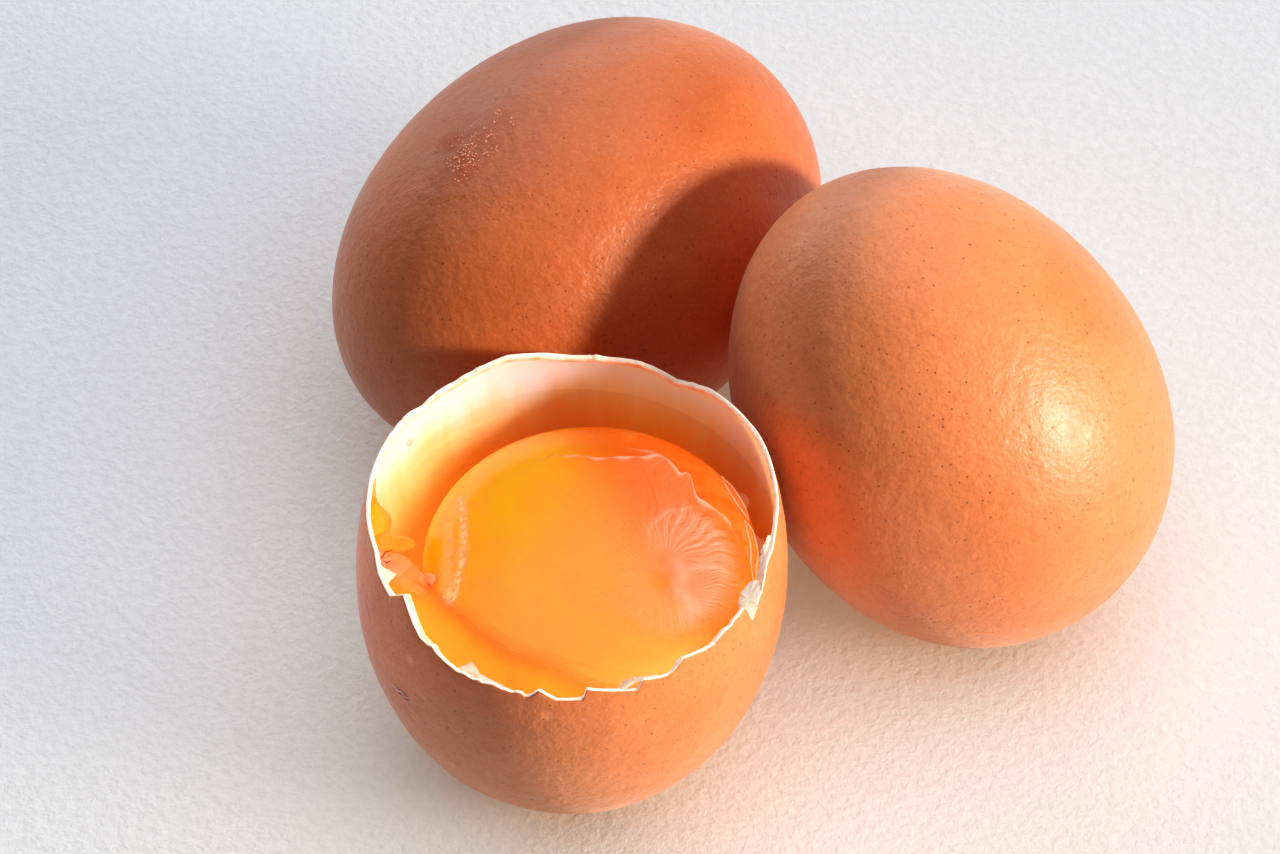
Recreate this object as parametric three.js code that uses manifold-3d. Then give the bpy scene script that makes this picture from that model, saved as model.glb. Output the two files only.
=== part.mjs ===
// Three brown hen's eggs lying close together on a table: one whole egg on its side at the back, one
// whole egg at the right that leans on it, and in front an egg opened at its pointed end, which
// stands on its blunt end with its white and its yolk still in the lower part of the shell.
//
// Millimetres, +Z up, table at z = 0, +X to the right and +Y to the back. The origin is the middle of
// the group's footprint. Azimuths turn counterclockwise from +X, in degrees.

import * as THREE from "three";
import { mergeVertices } from "three/addons/utils/BufferGeometryUtils.js";
import Module from "manifold-3d";

// ---- Driving dimensions -----------------------------------------------------------------------

// An egg is a body of revolution. heading is where its pointed end looks, lift how far that end is
// raised, and bias how far the egg is from an ellipsoid. x and y place the middle of its long axis.
const BACK_EGG = { length: 58.6, breadth: 43.8, bias: 1.3, heading: 221, lift: 0, x: -6.7, y: 8.1 };
const RIGHT_EGG = { length: 53.8, breadth: 43.9, bias: 1.5, heading: 138, lift: 45, x: 32.2, y: -17.1 };
const OPEN_EGG = { length: 58, breadth: 44.3, bias: 1.8, heading: 78, lift: 77.4, x: -7.1, y: -39.2 };

const FOOT_DEPTH = 0.12; // how much of each egg is flattened away where it touches the table
const WALL = 0.45; // shell and its skin
const GAP = 0.3; // clearance between neighbouring pieces

// The open rim: a mean height over the table, higher at the left and right than at front and back.
const RIM = { height: 35, saddle: 1.4, rise: 0.5, crumble: 0.2 };
const NOTCHES = [
  { azimuth: -155, depth: 1.6, width: 7 },
  { azimuth: -33, depth: 2.2, width: 5 },
  { azimuth: -98, depth: 0.9, width: 4 },
  { azimuth: -90, depth: 1.1, width: 5 },
  { azimuth: 61, depth: 0.8, width: 10 },
  { azimuth: 135, depth: 0.9, width: 6 },
];

const LIQUID_LEVEL = 28.1; // top of the egg white over the table
const YOLK = { radius: 17.2, dome: 4.6, depth: 10, x: 1.9, y: -0.3, sunk: 0.5 };
const FILM = { thickness: 0.45, lift: 0.4, inner: 4, outer: 15.8, from: -68, to: 78 };

// Thin plates that follow the inside of the open egg's wall between two azimuths. low and high are
// heights over the table, lean is how far the low edge stands in from the high edge, and taper is
// how much narrower the low edge is.
const PLATE_THICKNESS = 0.45;
const PLATES = [
  { name: "yolk_smear", from: 158, to: 184, low: 29, high: 34.2, lean: 0, taper: 1.2 },
  { name: "shell_flake_left", from: -160, to: -147, low: 31.5, high: 35, lean: 1.6, taper: 1 },
  { name: "shell_flake_right_upper", from: -16, to: 2, low: 31.6, high: 35.2, lean: 0.8, taper: 1.4 },
  { name: "shell_flake_right_lower", from: -38, to: -23, low: 30, high: 33.2, lean: 1, taper: 1 },
  { name: "membrane_flap_front", from: -124, to: -106, low: 30.2, high: 33, lean: 1.8, taper: 2.2 },
  { name: "membrane_flap_front_right", from: -66, to: -56, low: 31, high: 33.2, lean: 1.2, taper: 1.6 },
];

const CHALAZA_RADIUS = 0.75;
const CHALAZA_ROUTE = [
  [-19.2, 1.5, 31.2],
  [-18.6, -1.2, 29.7],
  [-17.9, -3.6, 29.4],
  [-16.6, -5.6, 29.7],
  [-15.4, -7.6, 29.4],
  [-15, -9.4, 29.9],
];

const AROUND = 40; // facets round an egg
const ALONG = 16; // facets from end to end of an egg
const RIM_STEPS = 96; // facets round the jagged rim

// ---- Materials --------------------------------------------------------------------------------

const brownShell = { color: 0xc9793f, roughness: 0.55 };
const finishes = {
  whole_egg_back: brownShell,
  whole_egg_right: brownShell,
  cracked_shell: brownShell,
  egg_white: { color: 0xf2b878, roughness: 0.08 },
  egg_yolk: { color: 0xf9980f, roughness: 0.15 },
  thick_white_film: { color: 0xf0bd98, roughness: 0.2 },
  chalaza: { color: 0xeec3a4, roughness: 0.25 },
  yolk_smear: { color: 0xf7b221, roughness: 0.2 },
  shell_flake_left: { color: 0xf6ead8, roughness: 0.6 },
  shell_flake_right_upper: { color: 0xf6ead8, roughness: 0.6 },
  shell_flake_right_lower: { color: 0xf6ead8, roughness: 0.6 },
  membrane_flap_front: { color: 0xf0c8aa, roughness: 0.35 },
  membrane_flap_front_right: { color: 0xf0c8aa, roughness: 0.35 },
};

// ---- Booleans ---------------------------------------------------------------------------------

const wasm = await Module();
wasm.setup();

// A closed geometry as a solid: shared corners merged, triangles without area dropped.
function toSolid(geometry) {
  const bare = new THREE.BufferGeometry();
  bare.setAttribute("position", geometry.getAttribute("position"));
  bare.setIndex(geometry.getIndex());
  const merged = mergeVertices(bare);
  const corners = merged.getIndex().array;
  const triangles = [];
  for (let i = 0; i < corners.length; i += 3) {
    const [a, b, c] = corners.slice(i, i + 3);
    if (a !== b && b !== c && c !== a) triangles.push(a, b, c);
  }
  return new wasm.Manifold(new wasm.Mesh({
    numProp: 3,
    vertProperties: new Float32Array(merged.getAttribute("position").array),
    triVerts: new Uint32Array(triangles),
  }));
}

function toGeometry(solid) {
  const mesh = solid.getMesh();
  const geometry = new THREE.BufferGeometry();
  geometry.setAttribute("position", new THREE.BufferAttribute(new Float32Array(mesh.vertProperties), 3));
  geometry.setIndex(new THREE.BufferAttribute(new Uint32Array(mesh.triVerts), 1));
  geometry.computeVertexNormals();
  return geometry;
}

// A wide block between two heights, to cut level faces with.
function slab(low, high) {
  const width = 200;
  const block = new THREE.BoxGeometry(width, width, high - low);
  block.translate(0, 0, (low + high) / 2);
  return toSolid(block);
}

// ---- Egg shape --------------------------------------------------------------------------------

const radians = THREE.MathUtils.degToRad;

// Radius at a distance s from the middle of the long axis; s is positive towards the pointed end.
function eggRadius(egg, s, inset = 0) {
  const length = egg.length - 2 * inset;
  const breadth = egg.breadth - 2 * inset;
  const inside = Math.max(0, length ** 2 - 4 * s ** 2);
  return (breadth / 2) * Math.sqrt(inside / (length ** 2 + 8 * egg.bias * s + 4 * egg.bias ** 2));
}

// The turn that takes +Y, the lathe's axis, to the egg's long axis.
function eggTurn(egg) {
  const heading = radians(egg.heading);
  const lift = radians(egg.lift);
  const flat = Math.cos(lift);
  const axis = new THREE.Vector3(flat * Math.cos(heading), flat * Math.sin(heading), Math.sin(lift));
  return new THREE.Quaternion().setFromUnitVectors(new THREE.Vector3(0, 1, 0), axis);
}

// The egg's surface, set in by inset and turned as it lies, with the middle of its long axis at 0.
function eggSurface(egg, inset = 0) {
  const half = egg.length / 2 - inset;
  const profile = [];
  for (let i = 0; i <= ALONG; i++) {
    const s = -half * Math.cos((Math.PI * i) / ALONG);
    const end = i === 0 || i === ALONG;
    profile.push(new THREE.Vector2(end ? 0 : eggRadius(egg, s, inset), s));
  }
  const surface = new THREE.LatheGeometry(profile, AROUND);
  surface.applyQuaternion(eggTurn(egg));
  return surface;
}

// How high the middle of the egg's long axis is when the egg's foot is FOOT_DEPTH under the table.
function centreHeight(egg) {
  const surface = eggSurface(egg);
  surface.computeBoundingBox();
  return -surface.boundingBox.min.z - FOOT_DEPTH;
}

// The whole egg as a solid, cut level where it meets the table.
function standingEgg(egg) {
  const surface = eggSurface(egg);
  surface.translate(0, 0, centreHeight(egg));
  return toSolid(surface).subtract(slab(-20, 0));
}

// ---- The open egg -----------------------------------------------------------------------------

const openAxis = new THREE.Vector3(0, 1, 0).applyQuaternion(eggTurn(OPEN_EGG));
const openCentre = centreHeight(OPEN_EGG);

function rimHeight(azimuth) {
  const turn = radians(azimuth);
  let height = RIM.height + RIM.saddle * Math.cos(2 * turn) + RIM.rise * Math.sin(turn);
  const crumbs = Math.sin(11 * turn + 1) + 0.6 * Math.sin(23 * turn) + 0.5 * Math.sin(37 * turn + 2);
  height += RIM.crumble * crumbs;
  for (const notch of NOTCHES) {
    const away = Math.abs(((azimuth - notch.azimuth + 540) % 360) - 180);
    height -= notch.depth * Math.max(0, 1 - away / notch.width);
  }
  return height;
}

// Everything over the rim. Its underside is at rimHeight from inside the wall to outside it.
function overTheRim() {
  const inside = 14;
  const outside = 30;
  const top = 40;
  const profile = [[0, 0], [inside, 0], [outside, 0], [outside, top], [0, top]];
  const points = profile.map(([radius, height]) => new THREE.Vector2(radius, height));
  const lid = new THREE.LatheGeometry(points, RIM_STEPS);
  lid.rotateX(Math.PI / 2);
  const place = lid.getAttribute("position");
  for (let i = 0; i < place.count; i++) {
    const x = place.getX(i);
    const y = place.getY(i);
    const onAxis = Math.hypot(x, y) < 1;
    const azimuth = THREE.MathUtils.radToDeg(Math.atan2(y, x));
    place.setZ(i, place.getZ(i) + (onAxis ? RIM.height : rimHeight(azimuth)));
  }
  return toSolid(lid);
}

// The whole space inside the open egg's wall, set in by inset.
function openEggInside(inset) {
  const surface = eggSurface(OPEN_EGG, inset);
  surface.translate(0, 0, openCentre);
  return toSolid(surface);
}

function crackedShell() {
  return standingEgg(OPEN_EGG).subtract(openEggInside(WALL)).subtract(overTheRim());
}

// A flattened ball, shallow over its widest level and deeper under it, grown by grow all round.
function yolkSolid(grow = 0) {
  const steps = 14;
  const radius = YOLK.radius + grow;
  const profile = [];
  for (let i = 0; i <= steps; i++) {
    const angle = -Math.PI / 2 + (Math.PI * i) / steps;
    const rise = (angle > 0 ? YOLK.dome + YOLK.sunk : YOLK.depth) + grow;
    const end = i === 0 || i === steps;
    profile.push(new THREE.Vector2(end ? 0 : radius * Math.cos(angle), rise * Math.sin(angle)));
  }
  const ball = new THREE.LatheGeometry(profile, 32);
  ball.rotateX(Math.PI / 2);
  ball.translate(YOLK.x, YOLK.y, LIQUID_LEVEL - YOLK.sunk);
  return toSolid(ball);
}

function yolkTop(distance) {
  const out = distance / YOLK.radius;
  return LIQUID_LEVEL - YOLK.sunk + (YOLK.dome + YOLK.sunk) * Math.sqrt(Math.max(0, 1 - out ** 2));
}

function eggWhite() {
  const pool = openEggInside(WALL + GAP).subtract(slab(LIQUID_LEVEL, LIQUID_LEVEL + 60));
  return pool.subtract(yolkSolid(GAP));
}

// ---- Thin plates ------------------------------------------------------------------------------

// A closed plate between two surfaces over the same grid: upper(u, v) and lower(u, v), with u and v
// from 0 to 1.
function plate(upper, lower, across, along) {
  const corners = [];
  const triangles = [];
  for (const surface of [upper, lower]) {
    for (let i = 0; i <= across; i++) {
      for (let j = 0; j <= along; j++) corners.push(...surface(i / across, j / along));
    }
  }
  const side = (across + 1) * (along + 1);
  const at = (i, j, layer) => layer * side + i * (along + 1) + j;
  const quad = (a, b, c, d) => triangles.push(a, b, c, a, c, d);
  for (let i = 0; i < across; i++) {
    for (let j = 0; j < along; j++) {
      quad(at(i, j, 0), at(i + 1, j, 0), at(i + 1, j + 1, 0), at(i, j + 1, 0));
      quad(at(i, j, 1), at(i, j + 1, 1), at(i + 1, j + 1, 1), at(i + 1, j, 1));
    }
    quad(at(i, 0, 0), at(i, 0, 1), at(i + 1, 0, 1), at(i + 1, 0, 0));
    quad(at(i, along, 0), at(i + 1, along, 0), at(i + 1, along, 1), at(i, along, 1));
  }
  for (let j = 0; j < along; j++) {
    quad(at(0, j, 0), at(0, j + 1, 0), at(0, j + 1, 1), at(0, j, 1));
    quad(at(across, j, 0), at(across, j, 1), at(across, j + 1, 1), at(across, j + 1, 0));
  }
  const geometry = new THREE.BufferGeometry();
  geometry.setAttribute("position", new THREE.Float32BufferAttribute(corners, 3));
  geometry.setIndex(triangles);
  return toSolid(geometry);
}

// The milky skin on the yolk's right half: part of a ring that follows the dome.
function thickWhiteFilm() {
  const layer = (lift) => (u, v) => {
    const distance = THREE.MathUtils.lerp(FILM.inner, FILM.outer, u);
    const turn = radians(THREE.MathUtils.lerp(FILM.from, FILM.to, v));
    const x = YOLK.x + distance * Math.cos(turn);
    const y = YOLK.y + distance * Math.sin(turn);
    return [x, y, yolkTop(distance) + lift];
  };
  return plate(layer(FILM.lift + FILM.thickness), layer(FILM.lift), 6, 10);
}

// A point on the open egg's surface, set in by inset, at an azimuth and a height.
function wallPoint(azimuth, height, inset) {
  const turn = radians(azimuth);
  const out = new THREE.Vector3(Math.cos(turn), Math.sin(turn), 0);
  let distance = OPEN_EGG.breadth / 2;
  for (let pass = 0; pass < 30; pass++) {
    const point = out.clone().multiplyScalar(distance).setZ(height - openCentre);
    const s = point.dot(openAxis);
    const radius = Math.sqrt(point.lengthSq() - s ** 2);
    distance += eggRadius(OPEN_EGG, s, inset) - radius;
  }
  return [distance * out.x, distance * out.y, height];
}

// A plate on the inside of the wall, narrower at its low edge by taper.
function wallPlate({ from, to, low, high, lean, taper }) {
  const middle = (from + to) / 2;
  const layer = (inset) => (u, v) => {
    const narrowing = THREE.MathUtils.lerp(1, 1 / (1 + taper), 1 - v);
    const azimuth = middle + (THREE.MathUtils.lerp(from, to, u) - middle) * narrowing;
    const height = THREE.MathUtils.lerp(low, high, v);
    return wallPoint(azimuth, height, WALL + GAP + inset + lean * (1 - v));
  };
  return plate(layer(0), layer(PLATE_THICKNESS), 6, 4);
}

function chalaza() {
  const route = new THREE.CatmullRomCurve3(CHALAZA_ROUTE.map((point) => new THREE.Vector3(...point)));
  const section = new THREE.Shape();
  section.absarc(0, 0, CHALAZA_RADIUS, 0, 2 * Math.PI);
  const cord = new THREE.ExtrudeGeometry(section, { extrudePath: route, steps: 16, curveSegments: 8 });
  return toSolid(cord);
}

// ---- Assembly ---------------------------------------------------------------------------------

function piece(name, solid) {
  const material = new THREE.MeshStandardMaterial({ ...finishes[name], metalness: 0 });
  const mesh = new THREE.Mesh(toGeometry(solid), material);
  mesh.name = name;
  return mesh;
}

const group = new THREE.Group();
for (const [name, egg] of [["whole_egg_back", BACK_EGG], ["whole_egg_right", RIGHT_EGG]]) {
  const whole = piece(name, standingEgg(egg));
  whole.position.set(egg.x, egg.y, 0);
  group.add(whole);
}

const openEgg = new THREE.Group();
openEgg.position.set(OPEN_EGG.x, OPEN_EGG.y, 0);
openEgg.add(piece("cracked_shell", crackedShell()));
openEgg.add(piece("egg_white", eggWhite()));
openEgg.add(piece("egg_yolk", yolkSolid()));
openEgg.add(piece("thick_white_film", thickWhiteFilm()));
openEgg.add(piece("chalaza", chalaza()));
for (const shape of PLATES) openEgg.add(piece(shape.name, wallPlate(shape)));
group.add(openEgg);

// The group's origin is the middle of its footprint.
const box = new THREE.Box3().setFromObject(group);
group.position.set(-(box.min.x + box.max.x) / 2, -(box.min.y + box.max.y) / 2, -box.min.z);

export default group;
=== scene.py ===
# Three brown hen's eggs on a pale table: two whole ones and, in front, one opened at its pointed end
# with its raw white and yolk still in the shell.
#
# Shapes are worked out in millimetres, with azimuths counterclockwise from +X in degrees, and go
# into the meshes in metres.

import math

import bpy
import numpy as np
from mathutils import Matrix, Vector


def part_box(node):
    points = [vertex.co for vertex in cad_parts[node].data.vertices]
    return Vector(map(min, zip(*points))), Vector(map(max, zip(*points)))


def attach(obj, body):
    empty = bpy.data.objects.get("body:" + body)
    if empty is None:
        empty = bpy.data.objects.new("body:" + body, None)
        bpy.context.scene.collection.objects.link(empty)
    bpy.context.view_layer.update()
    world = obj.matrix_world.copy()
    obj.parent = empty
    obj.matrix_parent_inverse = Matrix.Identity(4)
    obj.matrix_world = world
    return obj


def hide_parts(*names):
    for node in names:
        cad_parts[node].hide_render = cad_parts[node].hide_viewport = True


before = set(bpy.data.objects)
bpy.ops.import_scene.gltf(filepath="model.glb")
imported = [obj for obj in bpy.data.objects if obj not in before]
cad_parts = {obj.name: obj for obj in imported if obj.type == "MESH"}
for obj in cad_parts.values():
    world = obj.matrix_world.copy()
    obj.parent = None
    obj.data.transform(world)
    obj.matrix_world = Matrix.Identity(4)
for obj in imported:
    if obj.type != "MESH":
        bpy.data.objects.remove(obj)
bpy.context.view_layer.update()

MM = 0.001

# ---- Sizes ------------------------------------------------------------------------------------

BACK_EGG = dict(length=58.6, breadth=43.8, bias=1.3, heading=221, lift=0)
RIGHT_EGG = dict(length=53.8, breadth=43.9, bias=1.5, heading=138, lift=45)
OPEN_EGG = dict(length=58, breadth=44.3, bias=1.8, heading=78, lift=77.4)

FOOT_DEPTH = 0.12
WALL = 0.45
LIQUID_LEVEL = 28.1
YOLK = dict(radius=17.2, dome=5.1, depth=10, x=1.9, y=-0.3, middle=LIQUID_LEVEL - 0.5)

# The broken rim: a mean height, higher at the left and right than at front and back.
RIM = dict(height=35, saddle=1.4, rise=0.5, crumble=0.16, facet=2.4)

# Where the break leaves that wave: azimuth, change of height, and how many degrees the change
# reaches before and after its peak.
RIM_BREAKS = [
    (-165, 0.8, 14, 6),
    (-146, 2.0, 5, 10),
    (-122, -0.6, 9, 9),
    (-99, 0.9, 2.5, 5),
    (-86.3, 1.2, 0.8, 12),
    (-71, 0.8, 0.8, 9),
    (-58, 0.9, 4, 8),
    (-33, -2.6, 1.6, 13),
    (18, 1.0, 16, 14),
    (60, -1.3, 12, 12),
    (108, 1.4, 18, 16),
    (135, -0.9, 5, 6),
]


# ---- Nodes and colours ------------------------------------------------------------------------


def paint(code):
    """The linear colour of an sRGB hex code."""
    parts = [int(code[i : i + 2], 16) / 255 for i in (1, 3, 5)]
    linear = [c / 12.92 if c <= 0.04045 else ((c + 0.055) / 1.055) ** 2.4 for c in parts]
    return (*linear, 1.0)


def add(tree, kind, inputs=None, **settings):
    """Adds a node. inputs gives a value or an output socket for each named or numbered input."""
    node = tree.nodes.new(kind)
    for key, value in settings.items():
        setattr(node, key, value)
    for key, value in (inputs or {}).items():
        if isinstance(value, bpy.types.NodeSocket):
            tree.links.new(value, node.inputs[key])
        else:
            node.inputs[key].default_value = value
    return node


def per_mm(size):
    """The scale of a pattern on Object coordinates whose cells are size millimetres across."""
    return 1 / (size * MM)


def new_material(name):
    material = bpy.data.materials.new(name)
    material.use_nodes = True
    material.node_tree.nodes.clear()
    return material, material.node_tree


def finish_material(tree, **inputs):
    """Ends a material in one Principled shader. Underscores in a key stand for spaces."""
    named = {key.replace("_", " "): value for key, value in inputs.items()}
    shader = add(tree, "ShaderNodeBsdfPrincipled", named)
    add(tree, "ShaderNodeOutputMaterial", {"Surface": shader.outputs["BSDF"]})
    return shader


def object_coordinates(tree):
    return add(tree, "ShaderNodeTexCoord").outputs["Object"]


def noise(tree, size, detail=2.0, roughness=0.5):
    """Soft cloudy noise, about size millimetres from one cloud to the next."""
    inputs = {"Vector": object_coordinates(tree), "Scale": per_mm(size), "Detail": detail}
    inputs["Roughness"] = roughness
    return add(tree, "ShaderNodeTexNoise", inputs).outputs["Fac"]


def ramp(tree, value, low, high, to_low=0.0, to_high=1.0, smooth=True):
    inputs = {"Value": value, "From Min": low, "From Max": high, "To Min": to_low, "To Max": to_high}
    kind = "SMOOTHSTEP" if smooth else "LINEAR"
    return add(tree, "ShaderNodeMapRange", inputs, interpolation_type=kind).outputs["Result"]


def blend(tree, factor, first, second, mode="MIX"):
    """A colour mix of two colours, each a colour or an output."""
    node = add(tree, "ShaderNodeMix", data_type="RGBA", blend_type=mode)
    ends = {0: factor, 6: first, 7: second}
    for index, value in ends.items():
        if isinstance(value, bpy.types.NodeSocket):
            tree.links.new(value, node.inputs[index])
        else:
            node.inputs[index].default_value = value
    return node.outputs[2]


def multiply(tree, first, second):
    return add(tree, "ShaderNodeMath", {0: first, 1: second}, operation="MULTIPLY").outputs[0]


def plus(tree, first, second):
    return add(tree, "ShaderNodeMath", {0: first, 1: second}, operation="ADD").outputs[0]


def height_over_table(tree):
    """Object coordinate z in millimetres."""
    split = add(tree, "ShaderNodeSeparateXYZ", {"Vector": object_coordinates(tree)})
    return multiply(tree, split.outputs["Z"], 1 / MM)


def along(tree, x, y):
    """Object coordinates along a level direction, in millimetres."""
    dot = {0: object_coordinates(tree), 1: (x / MM, y / MM, 0)}
    return add(tree, "ShaderNodeVectorMath", dot, operation="DOT_PRODUCT").outputs["Value"]


def bump(tree, height, distance, strength=1.0, under=None):
    """A bump whose full height is distance millimetres."""
    inputs = {"Height": height, "Distance": distance * MM, "Strength": strength}
    if under is not None:
        inputs["Normal"] = under
    return add(tree, "ShaderNodeBump", inputs).outputs["Normal"]


# ---- Materials --------------------------------------------------------------------------------


def brown_eggshell(name, tone, deep, glow, soak, speckled, thin_spots=()):
    """Brown hen's eggshell: calcite laid under a thin protein bloom, full of breathing pores. It
    gives a soft satin sheen broken up by pits, and pigment that lies in clouds and specks. glow
    is how much of the light soaks in, and soak how many millimetres it then spreads: far, and
    reddened, in a whole egg, whose white carries it round to the shaded side. speckled is how
    strongly the specks show. At thin_spots the pigment is missing."""
    material, tree = new_material(name)
    clouds = ramp(tree, noise(tree, 15, 3), 0.3, 0.72)
    colour = blend(tree, clouds, paint(tone), paint(deep))
    for place in thin_spots:
        away = add(tree, "ShaderNodeVectorMath", {0: object_coordinates(tree), 1: Vector(place) * MM},
                   operation="DISTANCE").outputs["Value"]
        colour = blend(tree, ramp(tree, away, 0.2 * MM, 0.9 * MM, 0.7, 0), colour, paint("#f5a878"))
    mottle = ramp(tree, noise(tree, 1.6, 3), 0.42, 0.7, 0.0, 0.1)
    colour = blend(tree, mottle, colour, paint("#a8562a"))
    grain = noise(tree, 0.42, 3, 0.65)
    colour = blend(tree, ramp(tree, grain, 0.5, 0.72, 0.0, 0.22), colour, paint("#96481c"))
    colour = blend(tree, ramp(tree, grain, 0.48, 0.28, 0.0, 0.12), colour, paint("#f2b184"))

    # Pores, one to each cell of 0.8 mm; about half of them hold darker pigment.
    cells = {"Vector": object_coordinates(tree), "Scale": per_mm(0.8), "Randomness": 1.0}
    pores = add(tree, "ShaderNodeTexVoronoi", cells, feature="F1")
    pit = ramp(tree, pores.outputs["Distance"], 0.04, 0.22, 1.0, 0.0)
    pick = add(tree, "ShaderNodeSeparateColor", {"Color": pores.outputs["Color"]}).outputs["Red"]
    dark = multiply(tree, pit, ramp(tree, pick, 0.35, 0.85, 0.0, 0.9))
    colour = blend(tree, dark, colour, paint("#74300f"))

    # Specks of pigment, few and larger.
    cells = {"Vector": object_coordinates(tree), "Scale": per_mm(2.3), "Randomness": 1.0}
    specks = add(tree, "ShaderNodeTexVoronoi", cells, feature="F1")
    spot = ramp(tree, specks.outputs["Distance"], 0.03, 0.1, 1.0, 0.0)
    pick = add(tree, "ShaderNodeSeparateColor", {"Color": specks.outputs["Color"]}).outputs["Green"]
    spot = multiply(tree, spot, ramp(tree, pick, 0.4, 0.7))
    colour = blend(tree, multiply(tree, spot, speckled), colour, paint("#5d2512"))

    normal = bump(tree, noise(tree, 1.3, 2, 0.55), 0.16, 1)
    normal = bump(tree, grain, 0.07, 1, normal)
    normal = bump(tree, ramp(tree, pit, 0, 1, 1, 0, smooth=False), 0.02, 0.6, normal)
    finish_material(
        tree,
        Base_Color=colour,
        Roughness=ramp(tree, noise(tree, 3, 2), 0.3, 0.7, 0.4, 0.5),
        IOR=1.5,
        Normal=normal,
        Subsurface_Weight=glow,
        Subsurface_Radius=(1.0, 0.35, 0.12),
        Subsurface_Scale=soak * MM,
        Coat_Weight=0.06,
        Coat_Roughness=0.3,
        Sheen_Weight=0.22,
        Sheen_Roughness=0.45,
        Sheen_Tint=paint("#ffe6dc"),
    )
    return material


def broken_calcite():
    """The break through the shell: chalky crystals of calcite, pale and matt."""
    material, tree = new_material("broken_calcite")
    colour = blend(tree, noise(tree, 0.5, 3), paint("#fffaf0"), paint("#fbe6cc"))
    finish_material(
        tree,
        Base_Color=colour,
        Roughness=0.7,
        Normal=bump(tree, noise(tree, 0.25, 3), 0.05, 0.6),
        Subsurface_Weight=0.25,
        Subsurface_Radius=(1.0, 0.7, 0.5),
        Subsurface_Scale=0.8 * MM,
    )
    return material


def inner_membrane():
    """The skin inside the shell: felted protein fibres, wet with egg white. Cream near the rim and deep orange, in runs
    down the wall, lower down. This is partly liquid with yolk in it soaked into the skin, and partly painted light:
    whiter near the rim where the sun falls, and a painted orange glow low down for light coming through the shell and
    off the yolk."""
    material, tree = new_material("inner_membrane")
    stretch = {"Vector": object_coordinates(tree), "Scale": (1.0, 1.0, 0.09)}
    runs = add(tree, "ShaderNodeMapping", stretch).outputs["Vector"]
    runs = add(tree, "ShaderNodeTexNoise", {"Vector": runs, "Scale": per_mm(2.6), "Detail": 3.0})
    drift = ramp(tree, runs.outputs["Fac"], 0.3, 0.7, -1.3, 1.3, smooth=False)
    level = plus(tree, height_over_table(tree), drift)
    # Painted light on top of the wash: whiter where the sun falls near the rim, and an orange glow low down for light
    # through the shell and off the yolk.
    high = ramp(tree, level, LIQUID_LEVEL - 2, LIQUID_LEVEL + 4.5)
    colour = blend(tree, high, paint("#ffd0a4"), paint("#fffaf2"))
    low = ramp(tree, level, LIQUID_LEVEL - 7.5, LIQUID_LEVEL + 1)
    colour = blend(tree, low, paint("#ff9c5c"), colour)
    finish_material(
        tree,
        Base_Color=colour,
        Roughness=0.32,
        IOR=1.4,
        Normal=bump(tree, noise(tree, 0.35, 3, 0.6), 0.02, 0.35),
        Subsurface_Weight=0.8,
        Subsurface_Radius=(1.0, 0.45, 0.15),
        Subsurface_Scale=6 * MM,
        Coat_Weight=0.3,
        Coat_Roughness=0.08,
    )
    return material


def raw_egg_white():
    """Thin egg white: a clear, slightly yellow liquid, mirror smooth. An attribute on the mesh says how much yolk has
    run into it at a point. It is strongest at the front-left, where the white is made brighter and more opaque orange:
    partly yolk run in, and partly painted light for the front, which the front wall shades."""
    material, tree = new_material("raw_egg_white")
    yolky = add(tree, "ShaderNodeAttribute", attribute_name="yolky").outputs["Fac"]
    drift = ramp(tree, noise(tree, 4, 3), 0.3, 0.7, 0.8, 1.15, smooth=False)
    # Painted light: the front-left is brighter and more opaque orange, partly yolk run in and partly light painted
    # where the front wall shades the white.
    colour = blend(tree, yolky, paint("#f46a14"), paint("#ffae3c"))
    finish_material(
        tree,
        Base_Color=colour,
        Roughness=0.04,
        IOR=1.36,
        Alpha=ramp(tree, multiply(tree, yolky, drift), 0, 1, 0.04, 0.94, smooth=False),
        Normal=bump(tree, noise(tree, 3.5, 1), 0.06, 0.35),
        Subsurface_Weight=0.5,
        Subsurface_Radius=(1.0, 0.45, 0.08),
        Subsurface_Scale=2 * MM,
    )
    return material


def raw_yolk():
    """Raw yolk in its own thin skin: a thick emulsion that light soaks into, wet and glossy."""
    material, tree = new_material("raw_yolk")
    clouds = ramp(tree, noise(tree, 11, 2), 0.35, 0.68)
    colour = blend(tree, clouds, paint("#ffb814"), paint("#ffac24"))
    veiled = ramp(tree, along(tree, 0.7, -0.7), -3, 9, 0, 0.6)
    colour = blend(tree, veiled, colour, paint("#ffb46c"))
    # Painted shade: deeper orange toward the back right, where the yolk lies in shade.
    far = ramp(tree, along(tree, 1.0, 0.5), -30, -20, 0, 0.95)
    colour = blend(tree, far, colour, paint("#f06c00"))
    streaks = ramp(tree, noise(tree, 3.2, 3, 0.6), 0.5, 0.72, 0.0, 0.3)
    colour = blend(tree, streaks, colour, paint("#ffa850"))
    finish_material(
        tree,
        Base_Color=colour,
        Roughness=0.16,
        IOR=1.4,
        Normal=bump(tree, noise(tree, 1.6, 3), 0.03, 0.25),
        Subsurface_Weight=0.7,
        Subsurface_Radius=(1.0, 0.45, 0.06),
        Subsurface_Scale=4 * MM,
        Coat_Weight=0.4,
        Coat_Roughness=0.06,
    )
    return material


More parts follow.
